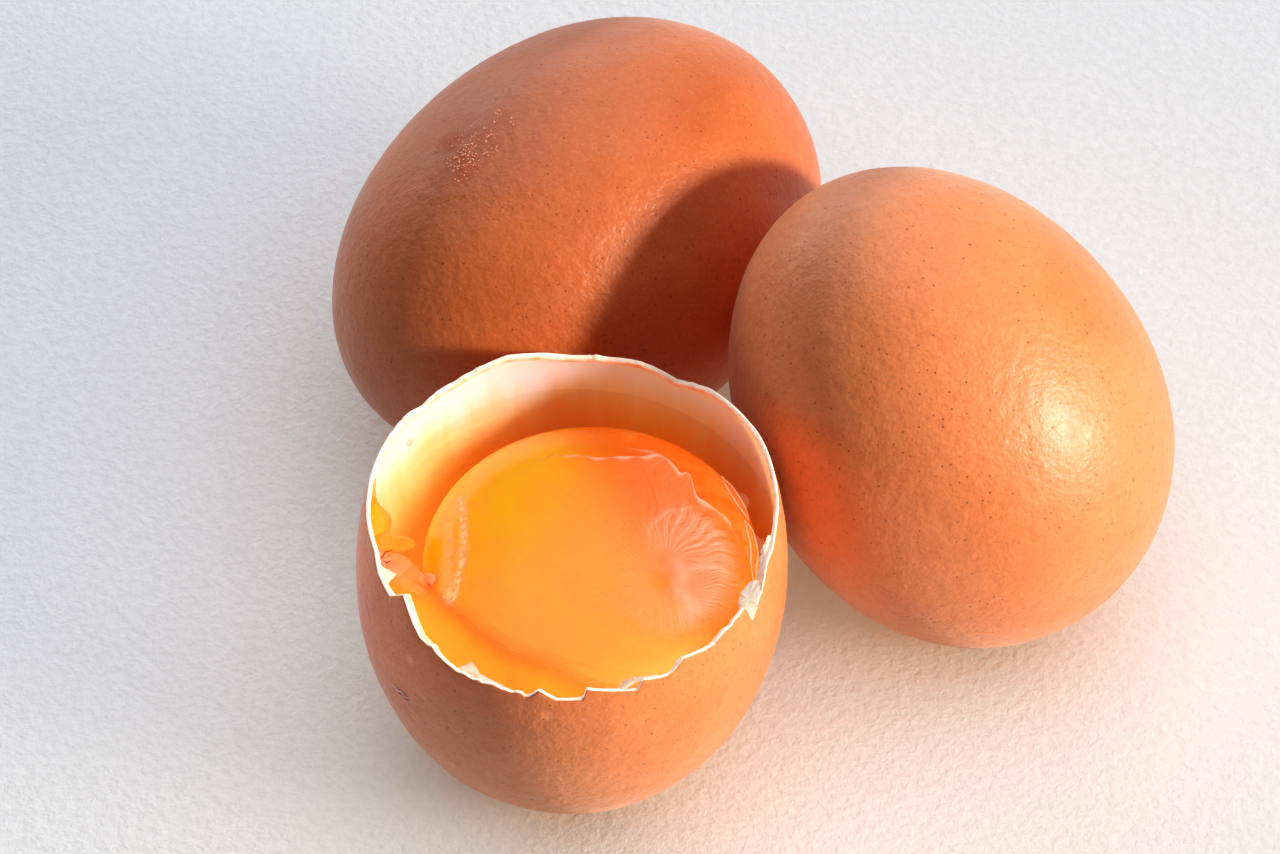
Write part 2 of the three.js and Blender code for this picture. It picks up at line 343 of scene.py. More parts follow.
def thick_egg_white(name, thin="#fb9c5c", thick="#fbd2c0", gloss=0.14):
    """Thick egg white: ropes and sheets of ovomucin gel, milky where they lie in folds. The
    attribute milk says how much of it lies at a point."""
    material, tree = new_material(name)
    milk = add(tree, "ShaderNodeAttribute", attribute_name="milk").outputs["Fac"]
    tint = blend(tree, ramp(tree, milk, 0.1, 0.85), paint(thin), paint(thick))
    finish_material(
        tree,
        Base_Color=tint,
        Roughness=gloss,
        IOR=1.36,
        Alpha=milk,
        Normal=bump(tree, noise(tree, 0.5, 2), 0.015, 0.3),
        Subsurface_Weight=0.3,
        Subsurface_Radius=(1.0, 0.6, 0.4),
        Subsurface_Scale=1 * MM,
    )
    return material


def bubbly_white():
    """White beaten up with yolk into a fine foam: pale and mottled, bubble by bubble of 0.4 mm. Where its patch lays
    the foam thickest, in two pale lines and a tip, it is a painted highlight.
    """
    material, tree = new_material("bubbly_white")
    milk = add(tree, "ShaderNodeAttribute", attribute_name="milk").outputs["Fac"]
    foam = ramp(tree, noise(tree, 0.45, 3, 0.6), 0.34, 0.62, 0.5, 1.0)
    colour = blend(tree, foam, paint("#ffb648"), paint("#ffe2b8"))
    finish_material(tree, Base_Color=colour, Roughness=0.12, IOR=1.36, Alpha=multiply(tree, milk, foam),
                    Normal=bump(tree, foam, 0.04, 0.6))
    return material


def smeared_yolk():
    """Yolk dragged thinly over the wall: clearer and yellower than the yolk itself, and paler
    where it thins out at its end."""
    material, tree = new_material("smeared_yolk")
    milk = add(tree, "ShaderNodeAttribute", attribute_name="milk").outputs["Fac"]
    drift = ramp(tree, noise(tree, 1.6, 2), 0.3, 0.7, -0.2, 0.2, smooth=False)
    colour = blend(tree, plus(tree, milk, drift), paint("#ff9c40"), paint("#ffb624"))
    finish_material(
        tree,
        Base_Color=colour,
        Roughness=0.14,
        IOR=1.4,
        Alpha=ramp(tree, milk, 0, 1, 0.55, 1, smooth=False),
        Subsurface_Weight=0.4,
        Subsurface_Radius=(1.0, 0.5, 0.1),
        Subsurface_Scale=1.5 * MM,
        Coat_Weight=0.3,
        Coat_Roughness=0.06,
    )
    return material


def torn_membrane():
    """A torn edge of the inner skin, standing clear of the shell: damp, pale pink, half clear."""
    material, tree = new_material("torn_membrane")
    colour = blend(tree, ramp(tree, noise(tree, 1.1, 3), 0.4, 0.65), paint("#ffe9d8"), paint("#fbc4a4"))
    finish_material(
        tree,
        Base_Color=colour,
        Roughness=0.28,
        IOR=1.4,
        Normal=bump(tree, noise(tree, 0.3, 3), 0.03, 0.5),
        Subsurface_Weight=0.4,
        Subsurface_Radius=(1.0, 0.6, 0.4),
        Subsurface_Scale=1.2 * MM,
    )
    return material


def blood_vein():
    """A thread of dried blood in the skin: thin, dark red-brown and a little glossy."""
    material, tree = new_material("blood_vein")
    colour = blend(tree, noise(tree, 0.6, 2), paint("#a8381c"), paint("#7c1f10"))
    finish_material(tree, Base_Color=colour, Roughness=0.35, IOR=1.4)
    return material


def wet_film():
    """A drying trace of egg white on the shell: clear, glossy, and a shade darker than dry shell."""
    material, tree = new_material("wet_film")
    colour = blend(tree, noise(tree, 1.5, 2), paint("#c85c20"), paint("#d87434"))
    milk = add(tree, "ShaderNodeAttribute", attribute_name="milk").outputs["Fac"]
    finish_material(
        tree,
        Base_Color=colour,
        Roughness=0.4,
        IOR=1.4,
        Alpha=milk,
        Normal=bump(tree, noise(tree, 0.6, 3), 0.06, 0.6),
    )
    return material


def clear_gel(name, amount):
    """A bead or a lens of clear egg white: no colour to speak of, and a mirror-bright surface."""
    material, tree = new_material(name)
    colour = blend(tree, noise(tree, 0.4), paint("#f8b48a"), paint("#ffd8bc"))
    finish_material(tree, Base_Color=colour, Roughness=0.04, IOR=1.4, Alpha=amount, Coat_Weight=0.6,
                    Coat_Roughness=0.03)
    return material


# ---- Meshes -----------------------------------------------------------------------------------


def skin(rings, start, end):
    """A closed skin through rings of points, with a pole at each end. Returns points, faces, and
    the number of the band, between one ring and the next, that each face is in."""
    rings = [np.asarray(ring, float) for ring in rings]
    around = len(rings[0])
    points = np.vstack([*rings, start, end])
    column = np.arange(around)
    beside = (column + 1) % around
    faces = []
    bands = []
    for k in range(len(rings) - 1):
        low, high = k * around, (k + 1) * around
        faces += np.stack([low + column, low + beside, high + beside, high + column], 1).tolist()
        bands += [k + 1] * around
    first, last = len(points) - 2, len(points) - 1
    top = (len(rings) - 1) * around
    faces += [[first, int(b), int(a)] for a, b in zip(column, beside)]
    faces += [[last, int(top + a), int(top + b)] for a, b in zip(column, beside)]
    bands += [0] * around + [len(rings)] * around
    if signed_volume(points, faces) < 0:
        faces = [face[::-1] for face in faces]
    return points, faces, np.array(bands)


def signed_volume(points, faces):
    corners = np.array([face[:3] for face in faces])
    rest = np.array([[face[0], face[2], face[3]] for face in faces if len(face) == 4])
    corners = np.vstack([corners, rest]) if len(rest) else corners
    a, b, c = (points[corners[:, i]] for i in range(3))
    return float(np.einsum("ij,ij->i", a, np.cross(b, c)).sum() / 6)


def make_piece(name, points, faces, materials, slots=None, numbers=None):
    """A smooth-shaded object at the origin from points in millimetres."""
    mesh = bpy.data.meshes.new(name)
    mesh.from_pydata((points * MM).tolist(), [], faces)
    for material in materials:
        mesh.materials.append(material)
    if slots is not None:
        mesh.polygons.foreach_set("material_index", np.asarray(slots, np.int32))
    mesh.polygons.foreach_set("use_smooth", np.ones(len(faces), bool))
    for key, values in (numbers or {}).items():
        attribute = mesh.attributes.new(key, "FLOAT", "POINT")
        attribute.data.foreach_set("value", np.asarray(values, np.float32))
    mesh.update()
    piece = bpy.data.objects.new(name, mesh)
    bpy.context.scene.collection.objects.link(piece)
    return piece


def keep(piece, slot, *nodes):
    """The piece rides on the group's one body and stands for these nodes; slot, its finish, is not used."""
    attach(piece, "root")
    if nodes:
        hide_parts(*nodes)
    return piece


def freeze(piece):
    """The piece's evaluated mesh takes the place of its mesh and its modifiers."""
    graph = bpy.context.evaluated_depsgraph_get()
    plain = bpy.data.meshes.new_from_object(piece.evaluated_get(graph), preserve_all_data_layers=True, depsgraph=graph)
    piece.modifiers.clear()
    piece.data = plain
    plain.name = piece.name
    return piece


def waves(values, lowest, highest, count, seed):
    """A smooth random wave between -1 and 1 over an angle in radians: count sines whose number of
    turns round the circle lies between lowest and highest."""
    draw = np.random.default_rng(seed)
    turns = draw.integers(lowest, highest + 1, count)
    phases = draw.uniform(0, 2 * math.pi, count)
    total = sum(np.sin(n * values + p) for n, p in zip(turns, phases))
    return total / math.sqrt(count) / 1.6


# ---- Geometry Nodes ---------------------------------------------------------------------------


def node_group(name, sockets):
    """A Geometry Nodes tree with a geometry in and out, and named number inputs."""
    tree = bpy.data.node_groups.new(name, "GeometryNodeTree")
    tree.interface.new_socket("Geometry", in_out="INPUT", socket_type="NodeSocketGeometry")
    tree.interface.new_socket("Geometry", in_out="OUTPUT", socket_type="NodeSocketGeometry")
    for key, kind in sockets.items():
        tree.interface.new_socket(key, in_out="INPUT", socket_type=kind)
    return tree, add(tree, "NodeGroupInput").outputs


def run_nodes(piece, tree, **values):
    """Gives the piece the tree with these inputs and applies the result."""
    modifier = piece.modifiers.new(tree.name, "NODES")
    modifier.node_group = tree
    for item in tree.interface.items_tree:
        key = item.name.replace(" ", "_").lower()
        if item.in_out == "INPUT" and key in values:
            modifier[item.identifier] = values[key]
    return freeze(piece)


def egg_tree():
    """A sphere drawn out into an egg along +Z, pointed end up: at s along the axis its radius is
    breadth / 2 times the root of (length^2 - 4 s^2) / (length^2 + 8 bias s + 4 bias^2)."""
    kinds = dict.fromkeys(["Length", "Breadth", "Bias"], "NodeSocketFloat")
    kinds |= dict.fromkeys(["Around", "Along"], "NodeSocketInt")
    tree, given = node_group("egg_of_given_size", {**kinds, "Shell": "NodeSocketMaterial"})
    ball = add(tree, "GeometryNodeMeshUVSphere", {
        "Segments": given["Around"], "Rings": given["Along"], "Radius": 1.0})

    def maths(kind, first, second=0.0):
        return add(tree, "ShaderNodeMath", {0: first, 1: second}, operation=kind).outputs[0]

    at = add(tree, "ShaderNodeSeparateXYZ", {0: add(tree, "GeometryNodeInputPosition").outputs[0]})
    along = maths("MULTIPLY", maths("MULTIPLY", given["Length"], 0.5), at.outputs["Z"])
    square = maths("MULTIPLY", given["Length"], given["Length"])
    skew = maths("MULTIPLY", maths("MULTIPLY", given["Bias"], 8.0), along)
    still = maths("MULTIPLY", maths("MULTIPLY", given["Bias"], given["Bias"]), 4.0)
    under = maths("SQRT", maths("ADD", square, maths("ADD", skew, still)))
    wide = maths("DIVIDE", maths("MULTIPLY", maths("MULTIPLY", given["Breadth"], 0.5), given["Length"]), under)
    place = add(tree, "ShaderNodeCombineXYZ", {
        "X": maths("MULTIPLY", at.outputs["X"], wide),
        "Y": maths("MULTIPLY", at.outputs["Y"], wide),
        "Z": along})
    drawn = add(tree, "GeometryNodeSetPosition", {
        "Geometry": ball.outputs["Mesh"], "Position": place.outputs[0]})
    smooth = add(tree, "GeometryNodeSetShadeSmooth", {"Geometry": drawn.outputs[0]})
    shell = add(tree, "GeometryNodeSetMaterial", {"Geometry": smooth.outputs[0], "Material": given["Shell"]})
    add(tree, "NodeGroupOutput", {"Geometry": shell.outputs[0]})
    return tree


def relief_tree():
    """Moves a shell's surface along its normal: broad lumps, and the fine grain of the calcite.
    The attribute outside says how much of it a point takes."""
    kinds = dict.fromkeys(["Lump Height", "Lump Size", "Grain Height", "Grain Size"], "NodeSocketFloat")
    tree, given = node_group("eggshell_relief", kinds)
    normal = add(tree, "GeometryNodeInputNormal").outputs[0]
    outside = add(tree, "GeometryNodeInputNamedAttribute", {"Name": "outside"}, data_type="FLOAT").outputs[0]
    total = None
    for height, size in (("Lump Height", "Lump Size"), ("Grain Height", "Grain Size")):
        scale = add(tree, "ShaderNodeMath", {0: 1.0, 1: given[size]}, operation="DIVIDE").outputs[0]
        cloud = add(tree, "ShaderNodeTexNoise", {"Scale": scale, "Detail": 2.0}).outputs[0]
        centred = add(tree, "ShaderNodeMath", {0: cloud, 1: 0.5}, operation="SUBTRACT").outputs[0]
        part = multiply(tree, multiply(tree, centred, given[height]), 2.0)
        total = part if total is None else plus(tree, total, part)
    shift = add(tree, "ShaderNodeVectorMath", {0: normal, "Scale": multiply(tree, total, outside)},
                operation="SCALE").outputs[0]
    moved = add(tree, "GeometryNodeSetPosition", {"Geometry": given["Geometry"], "Offset": shift})
    add(tree, "NodeGroupOutput", {"Geometry": moved.outputs[0]})
    return tree


def bead_tree():
    """Beads strewn over a patch and sunk a little into it, each of its own size."""
    kinds = {"Per Square Metre": "NodeSocketFloat", "Smallest": "NodeSocketFloat",
             "Largest": "NodeSocketFloat", "Seed": "NodeSocketInt", "Bead": "NodeSocketMaterial"}
    tree, given = node_group("beads_on_a_patch", kinds)
    milk = add(tree, "GeometryNodeInputNamedAttribute", {"Name": "beads"}, data_type="FLOAT").outputs[0]
    density = multiply(tree, given["Per Square Metre"], milk)
    strewn = add(tree, "GeometryNodeDistributePointsOnFaces", {
        "Mesh": given["Geometry"], "Density": density, "Seed": given["Seed"]})
    size = add(tree, "FunctionNodeRandomValue", {
        2: given["Smallest"], 3: given["Largest"], "Seed": given["Seed"]}, data_type="FLOAT").outputs[1]
    bead = add(tree, "GeometryNodeMeshIcoSphere", {"Radius": 1.0, "Subdivisions": 2})
    round_bead = add(tree, "GeometryNodeSetShadeSmooth", {"Geometry": bead.outputs["Mesh"]})
    placed = add(tree, "GeometryNodeInstanceOnPoints", {
        "Points": strewn.outputs["Points"], "Instance": round_bead.outputs[0], "Scale": size})
    real = add(tree, "GeometryNodeRealizeInstances", {"Geometry": placed.outputs[0]})
    wet = add(tree, "GeometryNodeSetMaterial", {"Geometry": real.outputs[0], "Material": given["Bead"]})
    add(tree, "NodeGroupOutput", {"Geometry": wet.outputs[0]})
    return tree


# ---- Egg shape --------------------------------------------------------------------------------


def egg_radius(egg, s, inset=0.0):
    """Radius at s millimetres from the middle of the long axis, positive to the pointed end."""
    length, breadth, bias = egg["length"] - 2 * inset, egg["breadth"] - 2 * inset, egg["bias"]
    inside = np.maximum(0, length**2 - 4 * s**2)
    return breadth / 2 * np.sqrt(inside / (length**2 + 8 * bias * s + 4 * bias**2))


def egg_axes(egg):
    """Unit vectors: across, up-across, and along the long axis to the pointed end."""
    heading, lift = math.radians(egg["heading"]), math.radians(egg["lift"])
    along = np.array([math.cos(lift) * math.cos(heading), math.cos(lift) * math.sin(heading), math.sin(lift)])
    guide = np.array([0.0, 0.0, 1.0]) if egg["lift"] < 60 else np.array([1.0, 0.0, 0.0])
    across = np.cross(guide, along) if egg["lift"] < 60 else guide - along * along[0]
    across /= np.linalg.norm(across)
    return across, np.cross(along, across), along


def lowest_point(egg):
    """How far the egg's lowest point is under the middle of its axis."""
    _, _, along = egg_axes(egg)
    s = np.linspace(-egg["length"] / 2, egg["length"] / 2, 20001)
    return float(-(s * along[2] - egg_radius(egg, s) * math.sqrt(1 - along[2] ** 2)).min())


def box_middle(node):
    low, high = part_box(node)
    return np.array(((low + high) / 2).to_tuple()) / MM


# ---- Whole eggs -------------------------------------------------------------------------------


def whole_egg_place(egg, node):
    """Where the middle of the egg's axis is."""
    across, up, along = egg_axes(egg)
    s = np.linspace(-egg["length"] / 2, egg["length"] / 2, 2001)[:, None]
    reach = egg_radius(egg, s) * np.sqrt(1 - along[:2] ** 2)
    offset = ((s * along[:2] + reach).max(0) + (s * along[:2] - reach).min(0)) / 2
    return np.array([*(box_middle(node)[:2] - offset), lowest_point(egg) - FOOT_DEPTH])


def whole_egg(name, node, egg, shell, trees):
    """A whole egg, set down where its node is."""
    piece = make_piece(name, np.zeros((0, 3)), [], [])
    run_nodes(piece, trees["egg"], length=egg["length"] * MM, breadth=egg["breadth"] * MM,
              bias=egg["bias"] * MM, around=340, along=210, shell=shell)
    across, up, along = egg_axes(egg)
    piece.data.transform(Matrix([(*row, 0) for row in np.stack([across, up, along], 1)]).to_4x4())
    give_relief(piece, np.ones(len(piece.data.vertices)), trees)
    set_places(piece, fit_inside(flat_foot(vertex_places(piece) + whole_egg_place(egg, node)), node, (0, 1, 2)))
    return piece


def give_relief(piece, outside, trees):
    attribute = piece.data.attributes.new("outside", "FLOAT", "POINT")
    attribute.data.foreach_set("value", np.asarray(outside, np.float32))
    run_nodes(piece, trees["relief"], lump_height=0.16 * MM, lump_size=17 * MM,
              grain_height=0.035 * MM, grain_size=1.7 * MM)


def vertex_places(piece):
    flat = np.zeros(len(piece.data.vertices) * 3, np.float32)
    piece.data.vertices.foreach_get("co", flat)
    return flat.reshape(-1, 3).astype(float) / MM


def set_places(piece, places):
    piece.data.vertices.foreach_set("co", (places * MM).astype(np.float32).ravel())
    piece.data.update()


def flat_foot(places):
    places[:, 2] = np.maximum(places[:, 2], 0)
    return places


def fit_inside(places, node, axes):
    """Draws the places in, by a hair, until they are no wider than the node along these axes."""
    low, high = (np.array(corner.to_tuple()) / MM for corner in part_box(node))
    for axis in axes:
        least, most = places[:, axis].min(), places[:, axis].max()
        share = (places[:, axis] - least) / (most - least)
        places[:, axis] = max(least, low[axis]) * (1 - share) + min(most, high[axis]) * share
    return places


# ---- The open egg: where things are -----------------------------------------------------------

OPEN_ACROSS, OPEN_SIDE, OPEN_ALONG = egg_axes(OPEN_EGG)
OPEN_HEIGHT = lowest_point(OPEN_EGG) - FOOT_DEPTH
OPEN_PLACE = box_middle("egg_yolk")[:2] - (YOLK["x"], YOLK["y"])


def degrees_apart(azimuth, other):
    return (azimuth - other + 180) % 360 - 180


def rim_height(azimuth):
    turn = np.radians(azimuth)
    height = RIM["height"] + RIM["saddle"] * np.cos(2 * turn) + RIM["rise"] * np.sin(turn)
    for at, change, before, after in RIM_BREAKS:
        away = degrees_apart(azimuth, at)
        height += change * np.clip(1 - np.abs(away) / np.where(away < 0, before, after), 0, 1)
    return height + RIM["crumble"] * facets(azimuth, RIM["facet"], 5)


def facets(azimuth, spacing, seed):
    """Random straight facets round the circle, between -1 and 1, with corners about spacing apart."""
    draw = np.random.default_rng(seed)
    count = int(360 / spacing)
    corners = np.sort(draw.uniform(0, 360, count))
    heights = draw.uniform(-1, 1, count)
    return np.interp(np.asarray(azimuth) % 360, corners, heights, period=360)


def on_egg(turn, s, inset):
    """Points on the open egg's surface, from the angle round its axis and s along it."""
    radius = egg_radius(OPEN_EGG, s, inset)
    round_it = np.outer(np.cos(turn), OPEN_ACROSS) + np.outer(np.sin(turn), OPEN_SIDE)
    points = radius[:, None] * round_it + s[:, None] * OPEN_ALONG
    return points + (0, 0, OPEN_HEIGHT)


def azimuth_of(points):
    return np.degrees(np.arctan2(points[:, 1], points[:, 0]))


def s_at_height(turn, inset, height_of):
    """Where along the axis a line down the shell, at each turn, crosses a height that depends on
    the azimuth."""
    s = np.full(len(turn), 6.0)
    for _ in range(25):
        points = on_egg(turn, s, inset)
        s = s + (height_of(azimuth_of(points)) - points[:, 2]) / OPEN_ALONG[2]
    return s


def on_wall(azimuth, height, inset):
    """Points on the inside of the wall, set in by inset, at azimuths and heights."""
    turn = np.radians(azimuth)
    out = np.stack([np.cos(turn), np.sin(turn), np.zeros_like(turn)], -1)
    distance = np.full(turn.shape, OPEN_EGG["breadth"] / 2)
    for _ in range(60):
        points = out * distance[..., None]
        points[..., 2] = height - OPEN_HEIGHT
        s = points @ OPEN_ALONG
        radius = np.sqrt(np.maximum(0, (points**2).sum(-1) - s**2))
        distance = distance + egg_radius(OPEN_EGG, s, inset) - radius
    points = out * distance[..., None]
    points[..., 2] = height
    return points


def set_in_place(points):
    return points + (*OPEN_PLACE, 0)


def yolk_top(x, y):
    """Height of the yolk's skin over the table at a place measured from the yolk's middle. It is
    flatter on top and steeper at its edge than a ball, and dimpled where its film is gathered."""
    out = np.hypot(x, y) / YOLK["radius"]
    height = YOLK["middle"] + YOLK["dome"] * np.sqrt(np.maximum(0, 1 - out**2.8))
    return height - 0.25 * np.exp(-((x - PUCKER[0]) ** 2 + (y - PUCKER[1]) ** 2) / 3)


def inner_skin(azimuth, inward, lift):
    """Points on what lies inside the shell: up the wall where inward is negative, in over the
    liquid where it is positive, and over the yolk beyond that, all raised by lift."""
    bend = 0.45
    over = 1 / (1 + np.exp(-inward / bend))
    size = np.hypot(over, 1 - over)
    height = LIQUID_LEVEL + bend * np.logaddexp(0, -inward / bend) + lift * over / size
    reach = bend * np.logaddexp(0, inward / bend) + lift * (1 - over) / size
    turn = np.radians(azimuth)
    out = np.stack([np.cos(turn), np.sin(turn), np.zeros_like(turn)], -1)
    points = on_wall(azimuth, height, WALL) - out * reach[..., None]
    skin_top = yolk_top(points[..., 0] - YOLK["x"], points[..., 1] - YOLK["y"])
    near = np.hypot(points[..., 0] - YOLK["x"], points[..., 1] - YOLK["y"]) < YOLK["radius"]
    points[..., 2] = np.where(near, np.maximum(points[..., 2], skin_top + lift), points[..., 2])
    return points


# ---- The open shell ---------------------------------------------------------------------------


def open_shell(shell, calcite, membrane, torn_skin, trees):
    """Outside, broken edge with its fringe of torn skin, and inside, in one closed wall."""
    around = 600
    turn = np.linspace(0, 2 * math.pi, around, endpoint=False)
    rim_s = s_at_height(turn, 0, rim_height)
    azimuth = azimuth_of(on_egg(turn, rim_s, np.zeros(around)))
    angle = np.radians(azimuth)
    fringe = 0.04 + 0.14 * np.clip(waves(angle, 5, 40, 12, 3), 0, 1)
    fringe += 0.5 * np.exp(-((degrees_apart(azimuth, -143) / 12) ** 2))
    ragged = 0.12 * waves(angle, 60, 140, 12, 4)

    def edge(inset, drop):
        return on_egg(turn, s_at_height(turn, inset, lambda a: rim_height(a) - drop), inset)

    def down(inset, top_s, rows):
        half = OPEN_EGG["length"] / 2 - inset
        last = np.arccos(np.clip(-top_s / half, -1, 1))
        steps = np.linspace(1, 0, rows + 1)[:-1]
        return [on_egg(turn, -half * np.cos(last * step), inset) for step in steps]

    outside = down(0.0, rim_s, 84)[::-1]
    broken = [edge(0.1, -0.05 + ragged), edge(0.26, 0.02 - ragged), edge(0.38, 0.1 + ragged)]
    torn = [edge(WALL + fringe, 0.16 + 0.5 * fringe), edge(WALL + 0.9 * fringe, 0.3 + 0.6 * fringe)]
    inside_s = s_at_height(turn, WALL, lambda a: rim_height(a) - 0.75)
    inside = down(WALL, inside_s, 60)
    rings = [*outside, *broken, *torn, *inside]
    tips = [-OPEN_EGG["length"] / 2, -OPEN_EGG["length"] / 2 + WALL]
    poles = [OPEN_ALONG * tip + (0, 0, OPEN_HEIGHT) for tip in tips]
    points, faces, bands = skin(rings, *poles)
    first = len(outside)
    slots = np.select([bands < first, bands < first + 3, bands < first + 6], [0, 1, 3], 2)
    piece = make_piece("open_eggshell", points, faces, [shell, calcite, membrane, torn_skin], slots)
    give_relief(piece, (np.arange(len(points)) < (len(outside) - 2) * around).astype(float), trees)
    set_places(piece, fit_inside(set_in_place(flat_foot(vertex_places(piece))), "cracked_shell", (0, 1)))
    return piece


# ---- White, yolk and film ---------------------------------------------------------------------


def yolk_rings(grow, start, stop, count, around):
    """Level rings on the yolk's skin, from angle start to stop in degrees, 90 being the top."""
    turn = np.linspace(0, 2 * math.pi, around, endpoint=False)
    rings = []
    for share in np.linspace(0, 1, count):
        angle = np.radians(start + (stop - start) * share) + np.zeros(around)
        radius = (YOLK["radius"] + grow) * np.cos(angle)
        x, y = radius * np.cos(turn), radius * np.sin(turn)
        below = YOLK["middle"] + (YOLK["depth"] + grow) * np.sin(angle)
        height = np.where(angle > 0, yolk_top(x, y) + grow, below)
        rings.append(np.stack([x + YOLK["x"], y + YOLK["y"], height], 1))
    return rings


def yolk_ball(material):
    rings = yolk_rings(0, -88, 88.5, 110, 260)
    ends = [(YOLK["x"], YOLK["y"], YOLK["middle"] - YOLK["depth"]),
            (YOLK["x"], YOLK["y"], YOLK["middle"] + YOLK["dome"])]
    points, faces, _ = skin(rings, *ends)
    return make_piece("raw_yolk_ball", set_in_place(points), faces, [material])


def white_pool(material):
    """The white between the yolk and the wall, drawn up a little at both."""
    around = 260
    azimuth = np.linspace(0, 360, around, endpoint=False)
    clear = 0.03
    under = yolk_rings(clear, -88, 0, 26, around)
    turned = degrees_apart(azimuth, -125)
    overlap = np.clip(1.1 - (np.abs(turned) / 62) ** 2, 0, 1)
    inner = yolk_rings(clear, 4, 12 + 22 * overlap, 4, around)
    climb, reach = 0.7, 0.75
    outer = on_wall(azimuth, np.full(around, LIQUID_LEVEL + climb), WALL + clear)
    top = []
    mixed = [np.zeros(around)] * (len(under) + len(inner))
    for t in np.linspace(0, 1, 30)[1:-1]:
        ring = inner[-1] * (1 - t) + outer * t
        to_yolk = np.linalg.norm((ring - inner[-1])[:, :2], axis=1)
        to_wall = np.linalg.norm((ring - outer)[:, :2], axis=1)
        at_yolk = (1 - overlap) * np.exp(-to_yolk / 0.5) + overlap * (1 - t)
        rise = (inner[-1][:, 2] - LIQUID_LEVEL) * at_yolk + climb * np.exp(-to_wall / reach)
        ring[:, 2] = LIQUID_LEVEL + rise + 0.05 * waves(np.radians(azimuth) + t, 3, 9, 5, 11)
        top.append(ring)
        mixed.append(1 - np.exp(-((to_yolk / 1.8) ** 2)))
    wall = [on_wall(azimuth, np.full(around, h), WALL + clear)
            for h in np.geomspace(LIQUID_LEVEL + climb, 1.4, 34)]
    ends = [(YOLK["x"], YOLK["y"], YOLK["middle"] - YOLK["depth"] - clear),
            OPEN_ALONG * (-OPEN_EGG["length"] / 2 + WALL + clear) + (0, 0, OPEN_HEIGHT)]
    points, faces, _ = skin([*under, *inner, *top, *wall], *ends)
    mixed = np.concatenate([*mixed, *[np.ones(around)] * len(wall), [0, 1]])
    turned = degrees_apart(azimuth_of(points), -125)
    # Yolk run into the white at the front-left. The white's finish also uses this as painted light there.
    yolky = mixed * np.clip(1.2 - (np.abs(turned) / 62) ** 2, 0, 1)
    return make_piece("raw_white_pool", set_in_place(points), faces, [material], numbers={"yolky": yolky})


# The milky film, from the middle of the yolk: where its folds gather, and its outline.
PUCKER = (7.2, -6)
FILM_OUTLINE = [
    (15.4, -6.2), (16.1, -3.8), (16, -1.8), (15.5, 0.2), (14.7, 1.5), (14.2, 2.9), (12.5, 4.2),
    (10.8, 5.4), (9.4, 7.2), (9.1, 9), (9.9, 9.9), (8, 10.6), (6.4, 11.3), (5.8, 10.5), (1.1, 10.1),
    (-4.6, 10.8), (-7, 8.5), (-8, 1), (-6.5, -5), (-2, -9), (3, -12), (8.4, -13.6), (12.2, -10.8),
]


def lay_patch(name, outline, to_space, thickness, material, spokes=120, steps=26, ragged=0.0, seed=1,
              middle=None, sink=0.04, amount=None, key="milk", rounding=9):
    """A closed patch laid on a surface. to_space takes two flat coordinates in millimetres and a
    height over the surface. thickness takes the coordinates and how far in from the edge they
    are, and so does amount, the number that goes into the attribute named key."""
    corners = np.array(outline, float)
    middle = corners.mean(0) if middle is None else np.array(middle, float)
    away = corners - middle
    turn = np.arctan2(away[:, 1], away[:, 0])
    order = np.argsort(turn)
    angle = np.linspace(-math.pi, math.pi, spokes, endpoint=False)
    reach = np.interp(angle, turn[order], np.hypot(*away.T)[order], period=2 * math.pi)
    blur = np.exp(-((degrees_apart(np.degrees(angle), 0) / rounding) ** 2))
    reach = np.real(np.fft.ifft(np.fft.fft(reach) * np.fft.fft(np.fft.ifftshift(blur / blur.sum()))))
    reach = reach + ragged * waves(angle, 6, max(10, spokes // 8), 10, seed)
    share = np.linspace(0, 1, steps + 1)[1:, None]
    a = middle[0] + share * reach * np.cos(angle)
    b = middle[1] + share * reach * np.sin(angle)
    edge = (1 - share) * reach
    upper = to_space(a, b, thickness(a, b, edge))
    lower = to_space(a, b, np.full_like(a, -sink))
    centre = [np.full((1, 1), c) for c in middle]
    depth = np.full((1, 1), float(reach.mean()))
    poles = [to_space(*centre, thickness(*centre, depth)), to_space(*centre, np.full((1, 1), -sink))]
    points, faces, _ = skin([*upper, *lower[::-1]], poles[0][0], poles[1][0])
    numbers = {}
    if amount is not None:
        values = np.broadcast_to(amount(a, b, edge), a.shape)
        pole = float(np.ravel(amount(*centre, depth))[0])
        numbers[key] = np.concatenate([values.ravel(), values[::-1].ravel(), [pole, pole]])
    return make_piece(name, set_in_place(points), faces, [material], numbers=numbers)


def on_yolk(x, y, lift):
    """Points on the yolk's skin, from the yolk's middle, held inside its edge."""
    held = np.minimum(1, (YOLK["radius"] - 0.1) / np.maximum(0.01, np.hypot(x, y)))
    x, y = x * held, y * held
    return np.stack([x + YOLK["x"], y + YOLK["y"], yolk_top(x, y) + lift], -1)


def step(value, width):
    """0 well below zero and 1 well above it, changing over about width."""
    return 1 / (1 + np.exp(np.clip(-value / width, -40, 40)))


def fan(x, y, centre, count, seed):
    """Folds that run out from a centre: 0 in the hollows, 1 on the crests. count is about how
    many there would be in a full turn."""
    out = np.hypot(x - centre[0], y - centre[1])
    turn = np.arctan2(y - centre[1], x - centre[0]) + 0.04 * np.sin(out / 1.3 + x)
    folds = waves(turn, int(count * 0.4), int(count * 1.5), 22, seed)
    folds = folds + 0.5 * waves(turn + 0.13 * out, int(count * 0.8), int(count * 2), 14, seed + 100)
    broken = 0.6 + 0.5 * np.sin(1.9 * out + 2.4 * np.sin(3.1 * turn) + 1.3 * x + seed) * np.sin(1.7 * y + seed)
    return np.clip(0.5 + 0.75 * folds * broken, 0, 1) * step(out - 0.9, 0.35)


